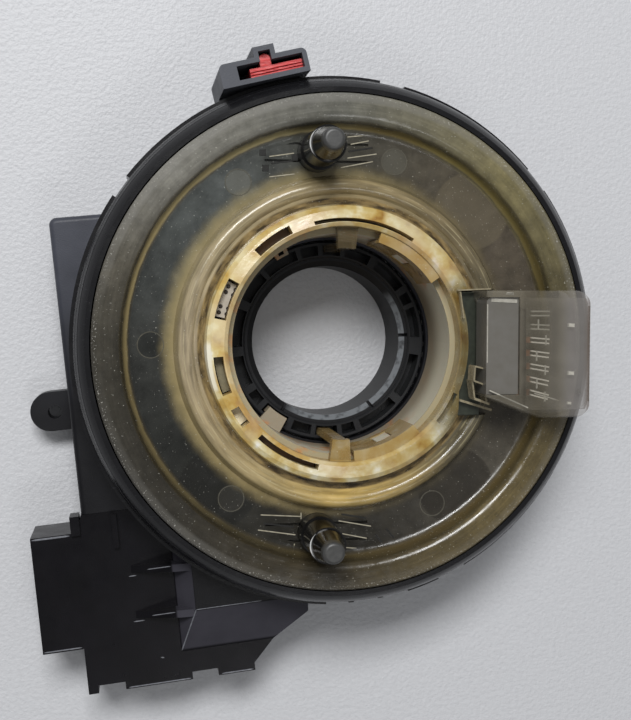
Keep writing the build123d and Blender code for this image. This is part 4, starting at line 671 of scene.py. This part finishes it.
def skin(shape, loops, closed=False):
    """Faces from loop to loop of vertices: capped at both ends, or closed into a ring."""
    after_loops = loops[1:] + loops[:1] if closed else loops[1:]
    for loop, following in zip(loops, after_loops):
        for number in range(len(loop)):
            after = (number + 1) % len(loop)
            shape.faces.new((loop[number], loop[after], following[after], following[number]))
    if not closed:
        shape.faces.new(loops[0])
        shape.faces.new(loops[-1])


def add_plate(shape, outline, low, high, edge):
    """A plate with bevelled top edges over a convex outline in the rotor's axes."""
    middle = Vector((sum(x for x, y in outline), sum(y for x, y in outline))) / len(outline)
    loops = []
    for height, inset in ((low, 0.0), (high - edge, 0.0), (high, edge)):
        loop = []
        for spot in outline:
            inward = middle - Vector(spot)
            x, y = Vector(spot) + inward.normalized() * min(inset, inward.length / 2)
            loop.append(rotor_vertex(shape, x, y, height))
        loops.append(loop)
    skin(shape, loops)


def add_bar(shape, start, end, width, low, high):
    """A bevelled bar between two points in the rotor's axes."""
    start, end = Vector(start), Vector(end)
    along = (end - start).normalized()
    side = Vector((-along.y, along.x)) * width / 2
    outline = [tuple(start + side), tuple(start - side), tuple(end - side), tuple(end + side)]
    add_plate(shape, outline, low, high, min(0.35 * width, high - low) * 0.8)


def add_ring(shape, spot, radius, width, low, high, steps=40):
    """A low ring with a bevelled crest about a point in the rotor's axes."""
    profile = [(radius - width / 2, low), (radius - width / 5, high), (radius + width / 5, high),
               (radius + width / 2, low)]
    skin(shape, [rotor_section(shape, spot, 2 * pi * step / steps, profile)
                 for step in range(steps)], closed=True)


def add_arc(shape, start, end, inner_r, outer_r, low, high, steps=14):
    """A curved bar about the column axis, between two angles of the rotor."""
    profile = [(inner_r, low), (inner_r, high), (outer_r, high), (outer_r, low)]
    turns = [radians(start + (end - start) * step / steps) for step in range(steps + 1)]
    skin(shape, [rotor_section(shape, (0, 0), turn, profile) for turn in turns])


def add_crescent(shape, spot, radius, width, start, end, low, high, steps=16):
    """A crescent about a point in the rotor's axes, widest in its middle."""
    loops = []
    for step in range(steps + 1):
        turn = radians(start + (end - start) * step / steps)
        half = width / 2 * max(sin(pi * step / steps), 0.08)
        profile = [(radius - half, low), (radius, high), (radius + half, low)]
        loops.append(rotor_section(shape, spot, turn, profile))
    skin(shape, loops)


def add_rod(shape, start, end, width, sides=6):
    """A thin rod with tapered ends between two points in the frame's axes."""
    start, end = Vector(start), Vector(end)
    along = (end - start).normalized()
    side = along.cross(Vector((0, 0, 1))).normalized()
    over = side.cross(along)
    taper = along * 2 * width
    loops = []
    for spot, reach in ((start, 0.15), (start + taper, 0.5), (end - taper, 0.5), (end, 0.15)):
        loop = []
        for turn in [2 * pi * step / sides for step in range(sides)]:
            away = (side * cos(turn) + over * sin(turn)) * width * reach
            loop.append(shape.verts.new((spot + away) * MM))
        loops.append(loop)
    skin(shape, loops)


def show(name, data):
    """A new object of the scene."""
    made = bpy.data.objects.new(name, data)
    bpy.context.scene.collection.objects.link(made)
    return made


def new_piece(name, material, body, build):
    """One mesh piece of a body, made by build from an empty shape."""
    shape = bmesh.new()
    build(shape)
    bmesh.ops.recalc_face_normals(shape, faces=shape.faces)
    mesh = bpy.data.meshes.new(name)
    shape.to_mesh(mesh)
    shape.free()
    mesh.materials.append(material)
    piece = show(name, mesh)
    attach(piece, body)


def trim_material(name, dark, light, roughness, alpha=1.0):
    paint = Paint(name, roughness, turned=True)
    paint.set("Base Color", paint.mix(dark, light, paint.noise(0.9, detail=3.0)))
    paint.set("Alpha", alpha)
    paint.bump(paint.noise(0.5), 0.01)
    return paint.material


# --- moulded lines and marks of the sunk band ----------------------------------------------
LINE_SINK = 0.05       # lines and rings start this far inside the band
LINE_HIGH = 0.10       # and stand this far over it
DARK_DROP = 0.04       # the dark lines stay this far under the bright ones
MARK_DROP = 0.02       # and the squares and rings this far
LINE_WIDTH = 0.22
DARK_WIDTH = 1.6 * LINE_WIDTH
RING_WIDTH = 0.3
SQUARE = 1.4
# Lines beside the pegs' feet, in the rotor's axes: from, to.
BRIGHT_LINES = [((-15.3, 34.8), (-10.0, 35.5)), ((-15.3, 39.0), (-10.1, 39.8)),
                ((1.9, 41.9), (5.8, 42.7)), ((1.2, 39.0), (7.5, 40.0)), ((-0.2, 37.0), (6.7, 38.4)),
                ((1.2, 43.4), (7.2, 44.1)), ((-17.3, -36.0), (-8.8, -36.6)),
                ((-17.9, -39.2), (-9.9, -40.5)), ((-8.7, -35.8), (-8.7, -37.2)),
                ((-0.6, -37.8), (6.5, -39.2)), ((-10.1, -42.4), (-10.5, -44.2)),
                ((0.2, -40.6), (5.6, -41.8)), ((-2.6, -43.2), (3.4, -43.9))]
DARK_LINES = [((-15.0, 37.6), (-10.4, 38.2)), ((1.4, 40.4), (6.6, 41.3)),
              ((-16.8, -37.8), (-10.2, -38.8)), ((0.0, -36.4), (5.4, -37.4)),
              ((9.8, -39.8), (11.6, -42.0)), ((7.5, -41.0), (8.9, -42.9))]
DARK_SQUARES = [(-16.7, 39.8), (-16.1, 36.6), (-9.9, 38.9)]
MARK_ANGLES = (73.6, 123.0, 180.0, 234.0, 300.0)


def add_band_marks():
    bright = trim_material("moulded_line", tint(120, 112, 92), tint(206, 200, 180), 0.15, 0.8)
    dark = trim_material("deep_mark", tint(16, 16, 15), tint(32, 31, 28), 0.3)
    # painted highlights: the round marks' rings are lighter than the band, for light on their rims
    rim_highlight = trim_material("round_mark_highlight", tint(74, 73, 66), tint(126, 122, 108), 0.18, 0.55)
    low = BAND_TOP - LINE_SINK
    high = BAND_TOP + LINE_HIGH

    def lines(shape):
        for start, end in BRIGHT_LINES:
            add_bar(shape, start, end, LINE_WIDTH, low, high)

    def marks(shape):
        for start, end in DARK_LINES:
            add_bar(shape, start, end, DARK_WIDTH, low, high - DARK_DROP)
        for x, y in DARK_SQUARES:
            add_bar(shape, (x - SQUARE / 2, y), (x + SQUARE / 2, y), SQUARE, low, high - MARK_DROP)

    def rings(shape):
        for angle in MARK_ANGLES:
            add_ring(shape, polar(BAND_MIDDLE_R, angle), MARK_R, RING_WIDTH, low, high - MARK_DROP)

    new_piece("band_lines", bright, "rotor", lines)
    new_piece("band_deep_marks", dark, "rotor", marks)
    new_piece("band_round_mark_highlights", rim_highlight, "rotor", rings)


# --- ribbon terminal and the slots of the hub ----------------------------------------------
RIVETS = [(radius, angle) for radius in (25.4, 27.0) for angle in (153.5, 156.2, 162.8, 165.5)]
RIVET_R = 0.42
RIVET_SIDES = 12
RIVET_SINK = 0.1
RIVET_HIGH = 0.3
RIVET_EDGE = 0.14


def add_rivets():
    """Dark soldered ends on the inner terminal's plate."""
    solder = trim_material("solder_dark", tint(20, 17, 14), tint(52, 44, 36), 0.35)
    turns = [2 * pi * step / RIVET_SIDES for step in range(RIVET_SIDES)]

    def rivets(shape):
        for x, y in [polar(*spot) for spot in RIVETS]:
            outline = [(x + RIVET_R * cos(turn), y + RIVET_R * sin(turn)) for turn in turns]
            add_plate(shape, outline, PLATE_TOP - RIVET_SINK, PLATE_TOP + RIVET_HIGH, RIVET_EDGE)

    new_piece("terminal_rivets", solder, "rotor", rivets)


SLOT_FLOOR = (33.75, 34.3)     # heights of the strips seen down the hub's slots
# Their dark and light shade, and for each strip its angles and radii, from and to.
SLOT_STRIPS = {
    "slot_strip_brown": (tint(70, 52, 34), tint(104, 80, 54),
                         [(116.6, 133.9, 25.5, 27.1), (226.6, 256.4, 25.5, 26.5)]),
    "slot_strip_green": (tint(96, 92, 72), tint(132, 124, 98), [(185.6, 201.4, 25.7, 27.2)]),
    "slot_strip_white": (tint(206, 194, 160), tint(232, 224, 200), [(209.6, 217.4, 25.6, 27.4)]),
}


def add_slot_strips():
    """What shows down the slots of the hub: parts of the reel's end and of the ribbon's fold."""
    for name, (dark, light, strips) in SLOT_STRIPS.items():
        def arcs(shape, strips=strips):
            for strip in strips:
                add_arc(shape, *strip, *SLOT_FLOOR)
        new_piece(name, trim_material(name + "_finish", dark, light, 0.4), "rotor", arcs)


# --- connector of the rotor ----------------------------------------------------------------
# Painted highlights along moulded edges, and clear walls, in the rotor's axes: from, to, width,
# low, high.
CONNECTOR_EDGES = [((27.85, -3.6), (27.85, 8.4), 0.22, 44.9, 45.35),
                   ((28.6, 9.25), (34.3, 9.0), 0.8, 44.9, 45.35),
                   ((31.6, 10.6), (33.2, 10.5), 0.55, 45.7, 46.0),
                   ((44.9, 4.1), (46.5, 4.0), 0.9, 45.7, 46.02),
                   ((44.9, -5.8), (46.5, -5.9), 0.9, 45.7, 46.02),
                   ((44.9, -12.0), (45.9, -12.1), 0.6, 45.7, 46.02),
                   ((38.6, -10.1), (44.0, -11.7), 0.25, 43.6, 44.0),
                   ((28.2, -9.2), (36.5, -12.9), 0.25, 45.7, 46.0)]
CLEAR_WALLS = [((26.0, -4.4), (28.4, -5.0), 0.35, 39.2, 43.2),
               ((26.0, -4.4), (25.8, -7.4), 0.35, 39.2, 43.2),
               ((25.8, -7.4), (28.2, -8.3), 0.35, 39.2, 43.2),
               ((25.8, -7.4), (26.3, -11.2), 0.35, 38.4, 42.0),
               ((26.3, -11.2), (29.6, -12.4), 0.5, 38.4, 42.0),
               ((28.2, -8.3), (28.9, -11.9), 0.4, 38.4, 42.0),
               ((24.2, -11.8), (31.2, -14.0), 0.5, 37.6, 38.7),
               ((23.9, 11.0), (24.7, 5.4), 0.3, 38.2, 39.4),
               ((23.4, 11.3), (30.6, 11.6), 0.3, 38.2, 39.4)]
# Short bars that tie the contacts' blades together, and a dark spot on the shroud's top.
BLADE_TIES = [((x, y), (x, y - 2.1), 0.3, 41.2, 41.6)
              for x, y in ((41.9, 1.9), (41.8, -4.4), (41.8, -10.0), (40.2, 5.2), (39.9, -1.4),
                           (40.0, -7.2))]
DARK_SPOT = [((47.1, -9.6), (48.1, -9.6), 1.1, 45.6, 45.98)]
# Plates of painted shade, in the hub's gap and at the contacts: outline, low, high, bevel.
GAP_SHADE = ([(24.6, 10.9), (28.8, 11.0), (28.8, -15.2), (22.6, -15.2), (23.8, -8.0), (24.9, -3.0),
            (25.2, 2.0), (24.9, 7.0)], 36.6, 37.1, 0.2)
CONTACT_SHADE = ([(35.6, 7.8), (37.2, 7.4), (37.5, -10.6), (35.9, -11.0)], 41.8, 42.1, 0.15)


def add_connector_trim():
    # painted highlights along the connector's moulded edges; the contact ties share this finish
    bright = trim_material("bright_edge", tint(150, 146, 134), tint(224, 220, 208), 0.12, 0.6)
    # painted shadow beside the contacts
    deep = trim_material("contact_shade", tint(14, 12, 10), tint(48, 40, 33), 0.4, 0.9)
    clear = trim_material("clear_wall", tint(112, 100, 78), tint(190, 180, 152), 0.12, 0.6)
    dark = trim_material("dark_spot", tint(64, 64, 60), tint(90, 88, 82), 0.3, 0.7)
    # painted shade: a dark sheet in the gap between the hub and the connector
    gap_shading = trim_material("gap_shade_sheet", tint(30, 33, 29), tint(62, 66, 56), 0.3, 0.92)
    for name, material, bars in (("connector_highlight_edges", bright, CONNECTOR_EDGES),
                                 ("connector_clear_walls", clear, CLEAR_WALLS),
                                 ("contact_ties", bright, BLADE_TIES),
                                 ("connector_dark_spot", dark, DARK_SPOT)):
        def build(shape, bars=bars):
            for bar in bars:
                add_bar(shape, *bar)
        new_piece(name, material, "rotor", build)
    new_piece("contact_shade_strip", deep, "rotor", lambda shape: add_plate(shape, *CONTACT_SHADE))
    new_piece("connector_gap_shade_sheet", gap_shading, "rotor", lambda shape: add_plate(shape, *GAP_SHADE))


CORNER_R = 3.4         # the outer corners of the shroud are rounded this much
CORNER_STEPS = 6


def round_shroud():
    """The connector's shroud with both outer corners rounded."""
    old = NODES["connector_shroud"]
    shape = bmesh.new()
    shape.from_mesh(old.data)
    for side, edge in zip((-1, 1), SHROUD_Y):
        centre = (SHROUD_RIGHT - CORNER_R, edge - side * CORNER_R)
        for step in range(CORNER_STEPS):
            turn = side * radians(90 * (step + 0.5) / CORNER_STEPS)
            spot = rotor_spot(centre[0] + CORNER_R * cos(turn), centre[1] + CORNER_R * sin(turn))
            way = rotor_spot(cos(turn), sin(turn))
            cut = bmesh.ops.bisect_plane(
                shape, geom=shape.verts[:] + shape.edges[:] + shape.faces[:],
                plane_co=(*[part * MM for part in spot], 0), plane_no=(*way, 0), clear_outer=True)
            border = [part for part in cut["geom_cut"] if isinstance(part, bmesh.types.BMEdge)]
            bmesh.ops.holes_fill(shape, edges=border, sides=0)
    mesh = bpy.data.meshes.new("connector_shroud_rounded")
    shape.to_mesh(mesh)
    shape.free()
    mesh.materials.clear()
    mesh.materials.append(old.data.materials[0])
    piece = show("connector_shroud_rounded", mesh)
    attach(piece, "rotor")
    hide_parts("connector_shroud")


# --- painted highlights on edges and collars -----------------------------------------------
# Painted highlights along the edges of the connector block's top, in the frame's axes: from, to,
# width.
BLOCK_EDGES = [((-69.4, -36.3), (-61.3, -36.3), 0.45), ((-69.4, -61.2), (-61.3, -61.2), 0.3),
               ((-52.1, -71.6), (-38.4, -71.6), 0.3), ((-31.5, -71.6), (-24.4, -71.6), 0.3),
               ((-49.6, -46.9), (-48.0, -46.9), 0.25), ((-49.6, -57.1), (-47.2, -57.1), 0.25),
               ((-44.6, -65.9), (-43.8, -66.1), 0.3)]
# Painted highlights along the edges of its raised deck and ribs, with their heights: from, to,
# width.
DECK_EDGES = [((-35.9, -54.8, 24.0), (-39.8, -65.0, 18.6), 0.3),
              ((-35.9, -54.8, 24.0), (-21.5, -54.8, 24.0), 0.18),
              ((-45.4, -44.7, 23.4), (-40.4, -44.7, 23.4), 0.2),
              ((-45.4, -54.9, 23.4), (-40.4, -54.9, 23.4), 0.2)]


def add_block_edges():
    # painted highlights along the block's edges
    grey = trim_material("block_edge_highlight", tint(62, 63, 68), tint(138, 140, 146), 0.35)

    def edges(shape):
        for start, end, width in BLOCK_EDGES:
            add_rod(shape, (*start, BLOCK_TOP), (*end, BLOCK_TOP), width)
        for start, end, width in DECK_EDGES:
            add_rod(shape, start, end, width)

    new_piece("block_highlight_edges", grey, "stator", edges)


CRESCENTS = ((1, 125, 225), (-1, 135, 230))    # upper or lower peg, and the angles from and to
CRESCENT_WIDTH = 0.36
CRESCENT_SINK = 0.02
CRESCENT_HIGH = 0.16


def add_peg_crescents():
    """Painted highlights: bright crescents on the collars of the pegs."""
    # painted highlights on the collars
    white = trim_material("collar_highlight", tint(150, 150, 148), tint(240, 240, 238), 0.2)

    def crescents(shape):
        for side, start, end in CRESCENTS:
            add_crescent(shape, (PEG_X, side * BAND_MIDDLE_R), COLLAR_R, CRESCENT_WIDTH, start, end,
                         COLLAR - CRESCENT_SINK, COLLAR + CRESCENT_HIGH)

    new_piece("peg_highlight_crescents", white, "rotor", crescents)


# --- stage and light -----------------------------------------------------------------------
FLOOR_HALF = 1.5       # metres
ROOM_TINT = (0.97, 0.98, 1.0, 1.0)
ROOM_LIGHT = 0.26
# Soft lamps: name, place and size in metres, watts.
LAMPS = [("ceiling_top", (-0.12, 0.52, 0.90), (0.45, 0.25), 10.0),
         ("ceiling_low", (0.10, -0.50, 0.90), (0.30, 0.15), 0.9)]


def lay_floor():
    mesh = bpy.data.meshes.new("floor")
    corners = [(-FLOOR_HALF, -FLOOR_HALF, 0), (FLOOR_HALF, -FLOOR_HALF, 0),
               (FLOOR_HALF, FLOOR_HALF, 0), (-FLOOR_HALF, FLOOR_HALF, 0)]
    mesh.from_pydata(corners, [], [(0, 1, 2, 3)])
    floor = show("floor", mesh)
    paint = Paint("pale_floor", 0.5)
    paint.set("Base Color", paint.mix(tint(186, 187, 190), tint(201, 202, 205), paint.noise(1.2)))
    paint.bump(paint.noise(0.9, detail=2.0), 0.22)
    mesh.materials.append(paint.material)
    floor.location.z = min(CAD_BOX[0][2], 0.0)


def add_area(name, spot, size, power):
    """A soft lamp that looks at the object."""
    lamp = bpy.data.lights.new(name, "AREA")
    lamp.shape = "RECTANGLE"
    lamp.size = size[0]
    lamp.size_y = size[1]
    lamp.energy = power
    holder = show(name, lamp)
    holder.location = spot
    holder.rotation_euler = (-Vector(spot)).to_track_quat("-Z", "Y").to_euler()


def light_stage():
    world = bpy.data.worlds.new("room")
    world.use_nodes = True
    shade = world.node_tree.nodes["Background"]
    shade.inputs["Color"].default_value = ROOM_TINT
    shade.inputs["Strength"].default_value = ROOM_LIGHT
    bpy.context.scene.world = world
    for lamp in LAMPS:
        add_area(*lamp)


# --- camera: solved from the object's circles and the two pegs -----------------------------
VIEW_WIDTH = 631
FOCAL_PIXELS = 1105.73
SENSOR = 36.0          # width in millimetres
VIEW_TILT = 3.06       # about the picture's X, in degrees
VIEW_PAN = 9.45        # about the picture's Y
VIEW_SPOT = (-43.85, 9.07, 262.24)     # in millimetres, in the rotor's axes


def place_camera():
    lens = bpy.data.cameras.new("camera")
    lens.sensor_fit = "HORIZONTAL"
    lens.sensor_width = SENSOR
    lens.lens = SENSOR * FOCAL_PIXELS / VIEW_WIDTH
    lens.clip_start = 0.01
    holder = show("camera", lens)
    look = Matrix.Rotation(radians(VIEW_TILT), 4, "X") @ Matrix.Rotation(radians(VIEW_PAN), 4, "Y")
    turn = Matrix.Rotation(radians(ROTOR_TURN), 4, "Z")
    spot = Matrix.Translation(Vector(VIEW_SPOT) * MM)
    holder.matrix_world = turn @ spot @ look.inverted()
    bpy.context.scene.camera = holder


paint_housing()
paint_cover_ring()
paint_block()
paint_socket()
paint_red()
paint_disc()
paint_pegs()
paint_connector()
paint_reel()
paint_index_ring()
paint_encoder_hub()
paint_gears()
paint_metal("steel", (0.50, 0.50, 0.51), 0.3, "cover_screws")
paint_metal("tinned_pin", (0.66, 0.65, 0.62), 0.25, "plug_pins_a", "plug_pins_b")
paint_metal("magnet", (0.25, 0.25, 0.26), 0.35, "magnet_a", "magnet_b")
paint_terminals()
paint_board()
paint_ribbon()
add_band_marks()
add_rivets()
add_slot_strips()
add_connector_trim()
round_shroud()
add_block_edges()
add_peg_crescents()
lay_floor()
light_stage()
place_camera()
bpy.context.scene.view_settings.view_transform = "Standard"
